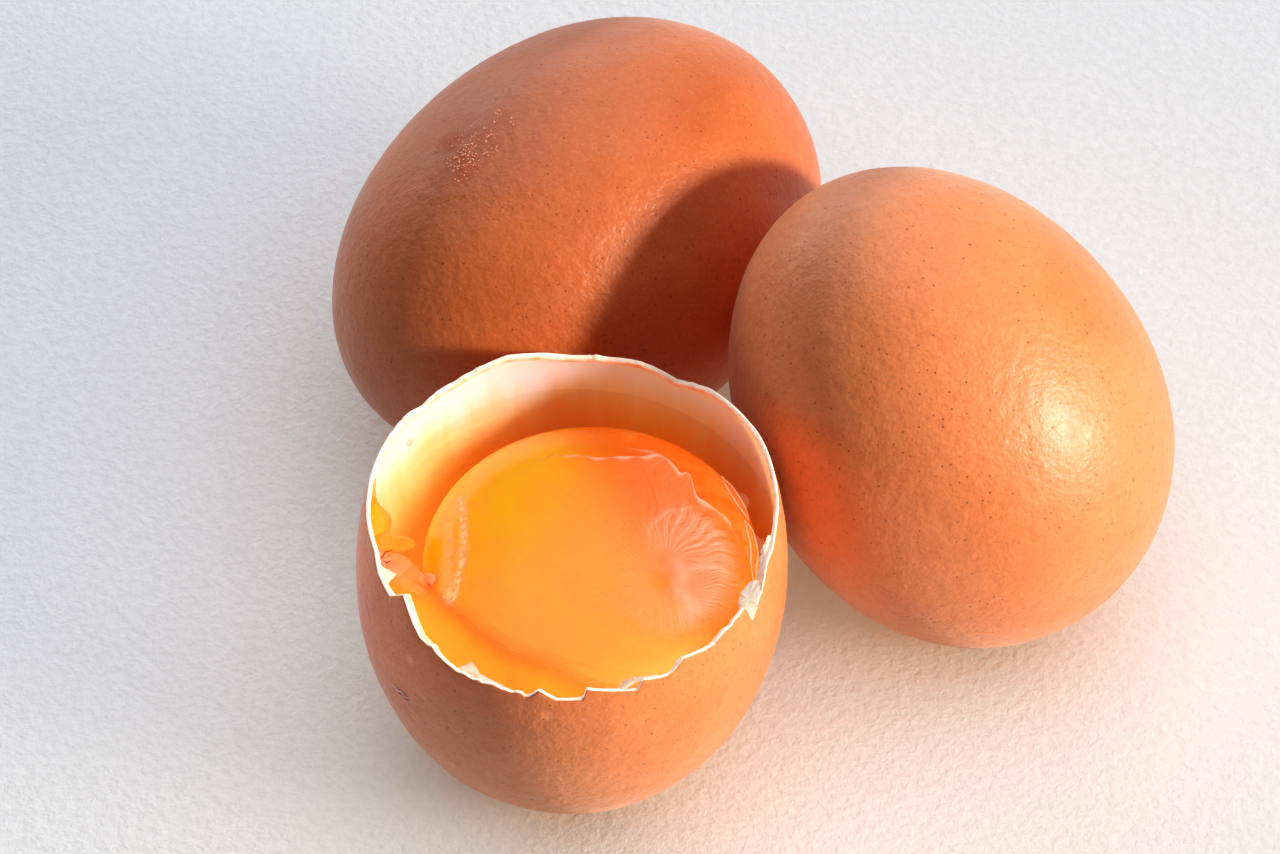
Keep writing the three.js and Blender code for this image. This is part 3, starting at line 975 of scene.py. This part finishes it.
def film_folds(x, y):
    """How milky the film is, and how its folds stand, over the yolk."""
    loop = np.hypot(x - 10.6, y + 1.2) + 0.22 * np.sin(1.9 * x) * np.sin(1.3 * y)
    crease = np.exp(-(((loop - 4.8) / 0.22) ** 2)) * step(y + 1.6 - 0.1 * x, 0.7) * step(13.4 - x, 0.5)
    in_loop = step(4.9 - loop, 0.5) * step(y + 3.4, 0.6)
    at_right = step(x - 10.2, 0.6) * step(-4.4 - y, 0.6)
    below = step(-7.6 - y, 1) * step(x - 4.6, 1.2) * step(12.2 - x, 1.2)
    ribs = fan(x, y, (7.6, -3.4), 62, 31)
    wrinkles = fan(x, y, (7.4, -6.8), 100, 32)
    falling = np.clip(0.5 + 0.6 * waves(0.9 * x + 0.25 * np.sin(0.7 * y), 1, 7, 9, 33), 0, 1)
    fine = fan(x, y, PUCKER, 120, 34) * np.exp(-np.hypot(x - PUCKER[0], y - PUCKER[1]) / 14)
    rope = np.exp(-(((x - 9.1 + 0.15 * (y + 6) + 0.4 * np.sin(1.7 * y)) / 0.95) ** 2))
    rope = rope * step(y + 9.6, 0.9) * step(-3.2 - y, 0.5)
    ridge = np.exp(-(((y + 4.1 + 0.5 * np.sin(0.9 * x)) / 0.6) ** 2)) * step(x - 8, 0.6) * step(13.6 - x, 0.6)
    rope = np.maximum(rope, 0.75 * ridge) * (0.65 + 0.35 * fine)
    hollow = np.exp(-((x - PUCKER[0] + 0.4) ** 2 + (y - PUCKER[1]) ** 2) / 0.7)
    folds = 0.75 * in_loop * ribs + 0.75 * at_right * wrinkles + 0.6 * below * falling * fine
    folds += 0.45 * (1 - in_loop) * (1 - at_right) * (1 - below) * fine
    body = 0.32 + 0.05 * in_loop + 0.03 * at_right + 0.08 * below + 0.42 * rope * (0.4 + 0.6 * wrinkles) + 0.2 * crease * (0.5 + 0.5 * fine)
    return body, folds, rope, crease, hollow


def milky_film(material):
    """A skin of thick white drawn over the yolk's right half, in folds that run to one place. Its
    upper edge is a thick hem; to the left it thins away to nothing."""

    def hem(x, y, edge):
        held = step(y - 2.2 + 0.35 * (x - 14), 0.7) * step(x + 4.5, 1)
        return held * np.exp(-((edge / (0.4 + 0.25 * np.sin(2.3 * x))) ** 2)), held

    def thickness(x, y, edge):
        body, folds, rope, crease, _ = film_folds(x, y)
        high = 0.04 + 0.05 * folds + 0.06 * rope + 0.05 * crease + 0.03 * hem(x, y, edge)[0]
        return 0.02 + high * np.clip(edge / 0.22, 0, 1)

    def amount(x, y, edge):
        body, folds, rope, crease, hollow = film_folds(x, y)
        line, held = hem(x, y, edge)
        away = np.maximum(held, np.clip(edge / 2.5, 0, 1) ** 0.8)
        left = 0.28 + 0.72 * step(x - 1.5, 3.2)
        milk = (body + 0.5 * folds) * left * away * (1 - 0.35 * hollow) + 0.55 * line
        return np.clip(milk, 0, 0.9)

    return lay_patch("milky_film", FILM_OUTLINE, on_yolk, thickness, material, 640, 110, 0.06, 21,
                     PUCKER, 0.02, amount, rounding=2)


def on_inner_skin(about):
    """Flat coordinates for what lies inside the shell: millimetres round the wall from azimuth
    about, and millimetres in from the waterline."""

    def to_space(along, inward, lift):
        return inner_skin(about + np.degrees(along / 21.7), inward, lift)

    return to_space


def mound(high, width):
    """A thickness that rises from the edge over width to high."""
    return lambda a, b, edge: high * np.sqrt(np.clip(edge / width, 0, 1) * (2 - np.clip(edge / width, 0, 1)))


def left_wall_pieces(materials):
    """What hangs between the left wall and the yolk: a run of yolk, a torn bit of skin with blood
    veins in it, and the pink end of the cord that holds the yolk."""
    run = [(-3.4, -5.4), (-1, -5.8), (2, -5.4), (3.2, -2), (3, 1), (1.6, 2.2), (-0.4, 2.6), (-2.6, 2.2),
           (-3.6, 0.6), (-4, -2.4)]
    smear = lay_patch("run_of_yolk", run, on_inner_skin(-190), mound(0.2, 1.6), materials["smear"],
                      120, 22, 0.06, 41, amount=lambda a, b, edge: np.clip(edge / 0.9, 0, 1))
    keep(smear, "egg_yolk", "yolk_smear")
    tongue = [(-0.9, 1), (0.9, 1.1), (1.2, 3), (0.9, 4.8), (0, 5.7), (-0.9, 5.2), (-1.3, 3.4)]
    tongue = lay_patch("tongue_of_yolk", tongue, on_inner_skin(-186.5), mound(0.3, 1), materials["smear"],
                       90, 18, 0.04, 44, amount=lambda a, b, edge: 0.35 * np.clip(edge / 0.5, 0, 1))
    keep(tongue, "egg_yolk")

    def creased(a, b, edge):
        return 0.1 + np.clip(edge / 0.3, 0, 1) * (0.2 + 0.13 * np.sin(4.2 * a + 2.5 * np.sin(1.9 * b)))

    rag = [(-2.4, -5.2), (0.4, -5.4), (2.8, -4.6), (3.4, -1), (3.2, 1.6), (2, 3.2), (0.2, 4), (-1.6, 3.6),
           (-2.6, 1.4), (-2.9, -2)]
    skin_rag = lay_patch("torn_skin_at_left", rag, on_inner_skin(-177.5), creased, materials["rag"],
                         120, 26, 0.12, 42, amount=lambda a, b, edge: 0.62 * np.clip(edge / 0.8, 0, 1))
    keep(skin_rag, "shell_membrane")
    cord = [(-1.2, 3), (0.4, 2.6), (2.4, 3), (4.4, 4), (6, 5.2), (6.8, 6.6), (6.4, 7.8), (5, 7.6),
            (3.6, 6.8), (2, 6), (0.4, 5.2), (-1, 4.4)]

    def cord_amount(a, b, edge):
        return (0.5 + 0.35 * step(a - 2.6, 0.8)) * np.clip(edge / 0.5, 0.1, 1)

    lobe = lay_patch("cord_of_thick_white", cord, on_inner_skin(-180), mound(0.45, 1.2), materials["cord"],
                     130, 22, 0.07, 43, amount=cord_amount)
    keep(lobe, "thick_egg_white", "chalaza")
    veins = []
    routes = [[(-2.6, 0.9), (-1.6, 1.5), (-0.5, 1.6), (0.6, 2.3), (1.7, 2.1)],
              [(-1.7, 3.2), (-0.9, 2.4), (-0.2, 1.9), (0.3, 1.0)],
              [(-0.4, 1.7), (0.2, 2.6), (0.2, 3.4), (0.9, 3.9)],
              [(3.9, 5.4), (4.4, 5.9), (5.2, 6.1), (5.9, 6.9)],
              [(0.6, 2.3), (0.9, 1.5), (1.7, 1.1)]]
    for number, route in enumerate(routes):
        route = np.array(route)
        share = np.linspace(0, len(route) - 1, 26)
        a, b = (np.interp(share, np.arange(len(route)), route[:, i]) for i in (0, 1))
        a = a + 0.09 * np.sin(5 * share + number)
        b = b + 0.09 * np.cos(4 * share + number)
        path = inner_skin(-179 + np.degrees(a / 21.7), b, np.full_like(a, 0.36 if number < 3 else 0.62))
        width = 0.085 * np.sin(np.linspace(0.25, math.pi - 0.1, len(a))) ** 0.5
        veins.append(thread(path, width))
    keep(make_piece("blood_veins", *merge(veins), [materials["vein"]]), "shell_membrane")


def thread(path, widths, around=8):
    """A closed round thread along a path. widths are its radii."""
    ahead = np.gradient(path, axis=0)
    ahead /= np.linalg.norm(ahead, axis=1)[:, None]
    side = np.cross(ahead, (0, 0, 1.0))
    side /= np.linalg.norm(side, axis=1)[:, None]
    above = np.cross(side, ahead)
    turn = np.linspace(0, 2 * math.pi, around, endpoint=False)
    rings = [p + w * (np.outer(np.cos(turn), u) + np.outer(np.sin(turn), v))
             for p, w, u, v in zip(path, widths, side, above)]
    points, faces, _ = skin(rings, path[0] - ahead[0] * widths[0], path[-1] + ahead[-1] * widths[-1])
    return set_in_place(points), faces


def smooth_line(corners, count=40):
    """Points along a smooth line through corners."""
    reach = np.concatenate([[0], np.cumsum(np.linalg.norm(np.diff(corners, axis=0), axis=1))])
    at = np.linspace(0, reach[-1], count)
    line = np.stack([np.interp(at, reach, column) for column in corners.T], 1)
    for _ in range(6):
        line[1:-1] = (line[:-2] + 2 * line[1:-1] + line[2:]) / 4
    return line


def merge(parts):
    """Points and faces of several parts as one."""
    points, faces = [], []
    for some_points, some_faces in parts:
        start = sum(map(len, points))
        faces += [[start + i for i in face] for face in some_faces]
        points.append(some_points)
    return np.vstack(points), faces


def flake(name, corners, thickness, material, seed, jagged=0.12, curl=0.0):
    """A broken plate. Its corners, in order round it, are azimuth, height and how far in from the
    outside of the shell they are. curl lifts its middle."""
    azimuth, height, inset = np.array(corners, float).T
    turn = np.radians(azimuth)
    out = np.stack([np.cos(turn), np.sin(turn), np.zeros_like(turn)], 1)
    edge = on_wall(azimuth, height, 0.0) - out * inset[:, None]
    count, per_side = len(edge), 7
    draw = np.random.default_rng(seed)
    border = []
    for k in range(count):
        start, stop = edge[k], edge[(k + 1) % count]
        for t in np.linspace(0, 1, per_side, endpoint=False):
            shift = draw.normal(0, jagged, 3) if 0 < t else draw.normal(0, jagged * 0.4, 3)
            border.append(start + (stop - start) * t + shift * min(1, np.linalg.norm(stop - start) / 1.5))
    border = np.array(border)
    centre = border.mean(0)
    flat = border - centre
    normal = np.linalg.svd(flat)[2][2]
    normal = normal if normal[2] > 0 else -normal
    rings = []
    for share in (0.25, 0.5, 0.75, 0.92, 1.0):
        rise = curl * (1 - share**2) + thickness * (0.5 if share < 1 else 0.3)
        rings.append(centre + flat * share + normal * rise)
    for share in (1.0, 0.92, 0.75, 0.5, 0.25):
        rise = curl * (1 - share**2) - thickness * (0.5 if share < 1 else 0.3)
        rings.append(centre + flat * share + normal * rise)
    poles = [centre + normal * (curl + thickness / 2), centre + normal * (curl - thickness / 2)]
    points, faces, _ = skin(rings, *poles)
    return make_piece(name, set_in_place(points), faces, [material])


def rim_flakes(calcite, membrane):
    """Bits of shell and skin that hang at the rim."""
    keep(flake("flake_hanging_left", [(-163.5, 35.2, 0.5), (-158, 35.1, 0.5), (-155, 35.3, 0.4),
                                      (-157.5, 34.6, 1.5), (-160, 34.2, 2.5)], 0.35, calcite, 51, 0.05, 0.1),
         "pale_shell_flake", "shell_flake_left")
    keep(flake("chalky_flake_right", [(-6.5, 35.4, 0.2), (-9, 35.3, 1.1), (-13, 34.7, 1.6),
                                      (-17.5, 34.2, 1.5), (-22, 33.5, 1.2), (-22, 34.6, 0.15),
                                      (-14, 35.5, 0.1)], 0.4, calcite, 52, 0.06, 0.12),
         "pale_shell_flake", "shell_flake_right_upper")
    keep(flake("curled_flake_right", [(-22.5, 34.6, 0.2), (-22.5, 34.1, 1.5), (-26.5, 33.6, 2.3),
                                      (-30.5, 33.2, 2.2), (-33.4, 32.6, 0.9), (-34, 32.3, 0.15),
                                      (-29, 33.6, 0.1)], 0.4, calcite, 53, 0.05, 0.3),
         "pale_shell_flake", "shell_flake_right_lower")
    keep(flake("skin_flap_front", [(-124, 33, 0.4), (-117, 33.1, 0.4), (-107, 33.2, 0.45), (-112, 32.8, 1.1),
                                   (-118, 32.4, 1.9), (-122, 32.1, 3)], 0.2, membrane, 54, 0.07, 0.12),
         "shell_membrane", "membrane_flap_front")
    keep(flake("skin_flap_front_right", [(-77, 33.5, 0.4), (-71, 33.9, 0.4), (-66, 33.9, 0.45),
                                         (-69, 33.7, 0.85), (-73, 33.5, 1.35), (-77, 33.3, 1.05)],
               0.25, membrane, 55, 0.08, 0.15),
         "shell_membrane", "membrane_flap_front_right")
    keep(flake("skin_flap_small", [(-60, 34.1, 0.4), (-55.5, 34.2, 0.4), (-57, 34, 1.05), (-59.5, 33.9, 1.1)],
               0.22, membrane, 56, 0.05, 0.1), "shell_membrane")


def scratch(calcite, dark_line_finish):
    """A hairline in the open shell: a raised pale edge and a dark line beside it."""
    share = np.linspace(0, 1, 24)
    azimuth = -143.9 + 6.6 * share + 0.25 * np.sin(9 * share)
    height = 24.5 + 0.55 * share + 0.12 * np.sin(14 * share)
    width = np.sin(np.linspace(0.3, math.pi - 0.2, 24))
    pale = thread(on_wall(azimuth, height + 0.12, 0.01), 0.07 * width)
    # The dark line beside the edge is drawn in the blood veins' dark red-brown.
    dark = thread(on_wall(azimuth + 0.6, height - 0.06, 0.02), 0.06 * width)
    keep(make_piece("scratch_edge", *pale, [calcite]), "pale_shell_flake")
    keep(make_piece("scratch_line", *dark, [dark_line_finish]), "pale_shell_flake")


def clear_traces(gel, painted_highlight_gel, streak):
    """Clear white at the yolk's edges and on the wall. There are two long lenses at the yolk's right edge, whose rims
    are painted highlights in pale, nearly opaque gel. A drop on the wall in that gel is a painted glint. A bubbly
    streak along the yolk's left edge has pale lines that are a painted highlight."""

    def rimmed(high, low):
        return lambda a, b, edge: np.minimum(edge / 0.05, 1) * (low + (high - low) * np.exp(-((edge / 0.16) ** 2)))

    # Painted highlights: pale, nearly opaque threads along the lenses' rims, where the light would glint.
    def painted_highlight_edge(name, path, about):
        a, b = smooth_line(np.array(path, float)).T
        width = 0.05 + 0.05 * np.sin(np.linspace(0.2, math.pi, len(a)))
        keep(make_piece(name, *thread(on_inner_skin(about)(a, b, 0.1), width), [painted_highlight_gel]), "egg_white")

    painted_highlight_edge("lens_edge_upper", [(7.9, 3.2), (6.9, 2.85), (4.8, 2.8), (2.4, 2.75), (0, 3.1)], 12)
    painted_highlight_edge("lens_edge_upper_inner", [(6.6, 3.7), (4.6, 4), (2.2, 3.85), (0, 3.1)], 12)
    painted_highlight_edge("lens_edge_lower", [(9, 3.6), (8.2, 2.9), (5, 2.65), (2.5, 2.8), (0, 2.6)], -13)
    painted_highlight_edge("lens_edge_lower_inner", [(9, 3.6), (7.6, 3.6), (5, 3.4), (2.5, 3.35), (0.6, 2.9)], -13)
    lens = [(0, 0), (2.2, 0.65), (4.6, 0.85), (7, 0.4), (7.6, 0), (5, -0.35), (2.4, -0.4)]
    keep(lay_patch("clear_lens_upper", [(a, b + 3.2) for a, b in lens], on_inner_skin(12), rimmed(0.22, 0.05),
                   gel, 130, 24, 0.02, 61, sink=0.01), "egg_white")
    lens = [(0, 0), (2.5, 0.25), (5, 0.1), (8.2, 0.35), (9.3, 0.95), (7.6, 0.95), (5, 0.75), (2.5, 0.7)]
    keep(lay_patch("clear_lens_lower", [(a, b + 2.6) for a, b in lens], on_inner_skin(-13), rimmed(0.26, 0.08),
                   gel, 130, 24, 0.02, 62, sink=0.01), "egg_white")
    # A drop in the same pale gel, a painted glint on the wall.
    drop = [(-0.9, -0.6), (0, -0.95), (0.9, -0.5), (1, 0.4), (0.1, 0.9), (-0.8, 0.5)]
    keep(lay_patch("drop_on_wall", [(0.45 * a, 0.9 * b - 2.4) for a, b in drop], on_inner_skin(141),
                   mound(0.3, 0.8), painted_highlight_gel, 60, 14, 0.05, 63), "egg_white")
    band = [(-12.6, 7.4), (-11.6, 5), (-11.5, 1), (-12, -2.5), (-13, -5.8), (-14.6, -7.6), (-15.7, -6.6),
            (-15.7, -3.5), (-15.8, 0), (-15, 4)]

    def bubbly(x, y, edge):
        return 0.015 + 0.03 * np.clip(edge / 0.6, 0, 1)

    # Painted highlight: two pale lines and a bright tip, where a window's reflection lies along the foam.
    def pale(x, y, edge):
        two = np.exp(-(((x + 12.9 + 0.018 * (y - 1) ** 2) / 0.45) ** 2))
        two = two + 0.6 * np.exp(-(((x + 14.3 + 0.012 * (y + 1) ** 2) / 0.5) ** 2)) * step(3 - y, 0.6)
        two = two + 0.9 * np.exp(-((x + 14.7) ** 2 + (y + 6) ** 2) / 0.5)
        return np.clip(0.7 * two, 0, 0.8) * np.clip(edge / 0.4, 0, 1)

    keep(lay_patch("bubbly_streak", band, on_yolk, bubbly, streak, 260, 50, 0.04, 64, (-13.7, 0), 0.01, pale),
         "thick_egg_white")


def trace_on_back_egg(film, bead, trees):
    """Egg white spilled on the back egg: a thin drying film with beads standing on it."""
    across, up, along = egg_axes(BACK_EGG)
    base = whole_egg_place(BACK_EGG, "whole_egg_back")

    def to_space(a, b, lift):
        s, turn = 9.6 + a, math.radians(104) + b / 20.5
        radius = egg_radius(BACK_EGG, s) + lift
        points = s[..., None] * along + radius[..., None] * (
            np.cos(turn)[..., None] * across + np.sin(turn)[..., None] * up)
        return points + base - (*OPEN_PLACE, 0)

    outline = [(-5.5, -1.5), (-3, -2.8), (1, -2.4), (3.2, -3.8), (4.4, -3), (3.6, -0.6), (3.4, 2.2), (2, 5),
               (0.6, 5.2), (-0.4, 2.4), (-3, 1.6), (-5, 1)]

    def thickness(a, b, edge):
        return 0.03 + np.clip(edge / 0.5, 0, 1) * (0.1 + 0.03 * np.sin(3 * a) * np.sin(2.6 * b))

    def milk(a, b, edge):
        wet = 0.42 * np.exp(-((a - 1.2) ** 2 / 1.6 + (b - 3.2) ** 2 / 2.2))
        wet = wet + 0.2 * np.exp(-((a - 3) ** 2 / 1.6 + (b + 1.8) ** 2 / 2.6)) + 0.05
        return np.clip(edge / 0.8, 0, 1) * wet

    patch = lay_patch("spilled_white", outline, to_space, thickness, film, 160, 40, 0.25, 71, (0.6, 0), 0.12, milk)
    where = np.array([vertex.co for vertex in patch.data.vertices]) / MM - base
    s = where @ along - 9.6
    b = (np.arctan2(where @ up, where @ across) - math.radians(104)) * 20.5
    crowd = np.exp(-((s - 1.6) ** 2 / 5 + (b + 0.9) ** 2 / 5)) + 0.25 * np.exp(-((s + 3) ** 2 / 4 + (b + 0.5) ** 2 / 2))
    patch.data.attributes.new("beads", "FLOAT", "POINT").data.foreach_set("value", crowd.astype(np.float32))
    keep(patch, "egg_white")
    beads = make_piece("beads_of_white", np.zeros((0, 3)), [], [])
    beads.data = patch.data.copy()
    beads.data.name = "beads_of_white"
    run_nodes(beads, trees["beads"], per_square_metre=1.1e7, smallest=0.03 * MM, largest=0.1 * MM, seed=7,
              bead=bead)
    keep(beads, "egg_white")


# ---- Floor, light and camera ------------------------------------------------------------------


def pale_paper():
    """Pale, lightly grained card."""
    material, tree = new_material("pale_paper")
    colour = blend(tree, noise(tree, 60, 2), paint("#e9ebee"), paint("#e3e5e8"))
    grain = noise(tree, 1.1, 3, 0.6)
    colour = blend(tree, ramp(tree, grain, 0.4, 0.6, 0.12, 0.0), colour, paint("#c4c6ca"))
    finish_material(tree, Base_Color=colour, Roughness=0.85, Normal=bump(tree, grain, 0.36, 1))
    return material


def make_floor():
    half = 1500
    corners = np.array([(-half, -half, 0), (half, -half, 0), (half, half, 0), (-half, half, 0)], float)
    table = make_piece("table", corners - (0, 0, 0.02), [[0, 1, 2, 3]], [pale_paper()])


def area_light(name, azimuth, elevation, distance, size, power, colour, mirrored=True, at=(0, 0, 20)):
    """A rectangular light that looks at a place in millimetres, by default the middle of the group.
    A light that isn't mirrored leaves no highlight."""
    turn, rise = math.radians(azimuth), math.radians(elevation)
    way = Vector((math.cos(turn) * math.cos(rise), math.sin(turn) * math.cos(rise), math.sin(rise)))
    data = bpy.data.lights.new(name, "AREA")
    data.shape = "RECTANGLE"
    data.size, data.size_y = size
    data.energy = power
    data.color = paint(colour)[:3]
    light = bpy.data.objects.new(name, data)
    light.location = way * distance + Vector(at) * MM
    light.rotation_mode = "QUATERNION"
    light.rotation_quaternion = way.to_track_quat("Z", "Y")
    light.visible_glossy = mirrored
    bpy.context.scene.collection.objects.link(light)
    return light


def make_lights(groups):
    """A warm key low at the right, a cool window low at the left rear and a sky over the table.
    The open shell is thin enough for the key to soak through it: its contents are lit as if it
    weren't there, and its shaded wall gets an orange glow."""
    toward, height, distance = -24, 22.5, 1.4

    def linked(light, receivers, blockers=None):
        light.light_linking.receiver_collection = groups[receivers]
        if blockers:
            light.light_linking.blocker_collection = groups[blockers]

    linked(area_light("key", toward, height, distance, (0.14, 0.14), 26, "#fff0e2"), "whole_and_trim")
    linked(area_light("key_through_eggs", toward, height, distance, (0.3, 0.3), 3, "#ff6c30", False),
           "whole", "table")
    linked(area_light("key_on_open_shell", -18, height, distance, (0.14, 0.14), 26, "#fff0e0"),
           "open_shell", "shells")
    linked(area_light("key_through_wall", -18, height, distance, (0.3, 0.3), 8.5, "#ffc08c", False),
           "open_shell", "whole")
    linked(area_light("key_inside", toward, 40, distance, (0.14, 0.14), 18, "#fff0d8", False), "contents", "whole")
    linked(area_light("glow_inside", -135, -13, 0.004, (0.01, 0.01), 0.0015, "#ff8438", False, (-19, -25, 34)),
           "open_shell", "open_shell")
    linked(area_light("key_on_table", toward, height, distance, (0.5, 0.5), 7, "#fff0d4", False), "table")
    linked(area_light("sky_on_table", -30, 78, 1.3, (1.8, 1.8), 14.5, "#f2f8ff", False), "table")
    linked(area_light("glow_on_table", -66, 60, 0.12, (0.05, 0.05), 0.04, "#ffdca4", False), "table", "table")
    linked(area_light("sky_on_shells", 100, 62, 1.3, (1.6, 1.2), 9.5, "#f8f6ff"), "shells")
    linked(area_light("sky_on_contents", 112, 60, 1.3, (1.2, 1.2), 4, "#f2f6ff", False), "contents")
    area_light("window", 130, 15, 1.3, (0.8, 0.3), 2.6, "#f4f8ff")
    area_light("far_side", 96, 14, 1.6, (1.2, 0.3), 4, "#f4f8ff")
    world = bpy.data.worlds.new("soft_surroundings")
    world.use_nodes = True
    world.node_tree.nodes["Background"].inputs["Color"].default_value = paint("#f2f4ff")
    world.node_tree.nodes["Background"].inputs["Strength"].default_value = 0.13
    bpy.context.scene.world = world
    bpy.context.scene.view_settings.view_transform = "Standard"
    bpy.context.scene.view_settings.look = "Medium High Contrast"


def light_groups():
    """Sets of objects that a light falls on, or that block it."""
    pieces = [piece for piece in bpy.context.scene.objects if piece.type == "MESH" and not piece.hide_render]
    table = [piece for piece in pieces if piece.name == "table"]
    eggs = [piece for piece in pieces if piece not in table]
    inside = ("lens_edge", "raw_yolk_ball", "raw_white_pool", "milky_film", "bubbly_streak", "clear_lens_upper",
              "clear_lens_lower", "run_of_yolk", "tongue_of_yolk", "torn_skin_at_left", "blood_veins",
              "cord_of_thick_white", "flake_hanging_left", "chalky_flake_right", "curled_flake_right",
              "skin_flap_front", "skin_flap_front_right", "skin_flap_small")
    on_whole = ("egg_", "spilled", "beads")
    sets = {
        "table": table,
        "contents": [piece for piece in eggs if piece.name.startswith(inside)],
        "open_shell": [piece for piece in eggs if piece.name == "open_eggshell"],
        "whole_and_trim": [piece for piece in eggs if not piece.name.startswith((*inside, "open_eggshell"))],
        "whole": [piece for piece in eggs if piece.name.startswith(on_whole)],
        "shells": [piece for piece in eggs if piece.name.startswith((*on_whole, "open_eggshell", "scratch"))],
    }
    groups = {}
    for name, members in sets.items():
        groups[name] = bpy.data.collections.new(name)
        for piece in members:
            groups[name].objects.link(piece)
    return groups


def make_camera():
    """Looks down at the group from in front, from a long way off."""
    elevation, roll, distance = math.radians(51.67), math.radians(-0.69), 696 * MM
    aim = Vector((-11.64, 14.12, 0)) * MM
    ahead = Vector((0, math.cos(elevation), -math.sin(elevation)))
    level = Vector((1, 0, 0))
    over = level.cross(ahead)
    right = level * math.cos(roll) + over * math.sin(roll)
    up = over * math.cos(roll) - level * math.sin(roll)
    data = bpy.data.cameras.new("camera")
    data.sensor_width = 36
    data.lens = 178.6
    data.clip_start, data.clip_end = 0.01, 20
    camera = bpy.data.objects.new("camera", data)
    camera.matrix_world = Matrix.Translation(aim - ahead * distance) @ Matrix((right, up, -ahead)).transposed().to_4x4()
    bpy.context.scene.collection.objects.link(camera)
    bpy.context.scene.camera = camera


# ---- Assembly ---------------------------------------------------------------------------------

make_camera()
make_floor()

trees = {"egg": egg_tree(), "relief": relief_tree(), "beads": bead_tree()}
dark_shell = brown_eggshell("brown_eggshell_darker", "#c6713a", "#b6622e", 0.28, 12, 0.35)
pale_shell = brown_eggshell("brown_eggshell_paler", "#e4925c", "#da864f", 0.3, 12, 0.12)
back_egg = whole_egg("egg_lying_at_back", "whole_egg_back", BACK_EGG, dark_shell, trees)
keep(back_egg, "brown_eggshell", "whole_egg_back")
right_egg = whole_egg("egg_leaning_at_right", "whole_egg_right", RIGHT_EGG, pale_shell, trees)
keep(right_egg, "brown_eggshell", "whole_egg_right")
calcite = broken_calcite()
spots = set_in_place(on_wall(np.array([-137.6, -96.6]), np.array([31.1, 31.1]), 0.0))
thin_shell = brown_eggshell("brown_eggshell_thin_wall", "#d8884f", "#ca783f", 0.15, 2.2, 0.75, spots)
torn_skin = torn_membrane()
keep(open_shell(thin_shell, calcite, inner_membrane(), torn_skin, trees), "brown_eggshell", "cracked_shell")
keep(yolk_ball(raw_yolk()), "egg_yolk", "egg_yolk")
keep(white_pool(raw_egg_white()), "egg_white", "egg_white")
keep(milky_film(thick_egg_white("milky_film")), "thick_egg_white", "thick_white_film")
left_wall_pieces({
    "smear": smeared_yolk(), "vein": blood_vein(),
    "rag": thick_egg_white("veined_membrane", "#f9a070", "#f8bb9a", 0.25),
    "cord": thick_egg_white("cord_of_thick_white", "#ff9a58", "#ffb48c", 0.1),
})
rim_flakes(calcite, torn_skin)
scratch(calcite, bpy.data.materials["blood_vein"])
clear_traces(clear_gel("clear_gel", 0.1), clear_gel("clear_gel_edge", 0.8), bubbly_white())
trace_on_back_egg(wet_film(), clear_gel("bead_of_white", 0.8), trees)

make_lights(light_groups())
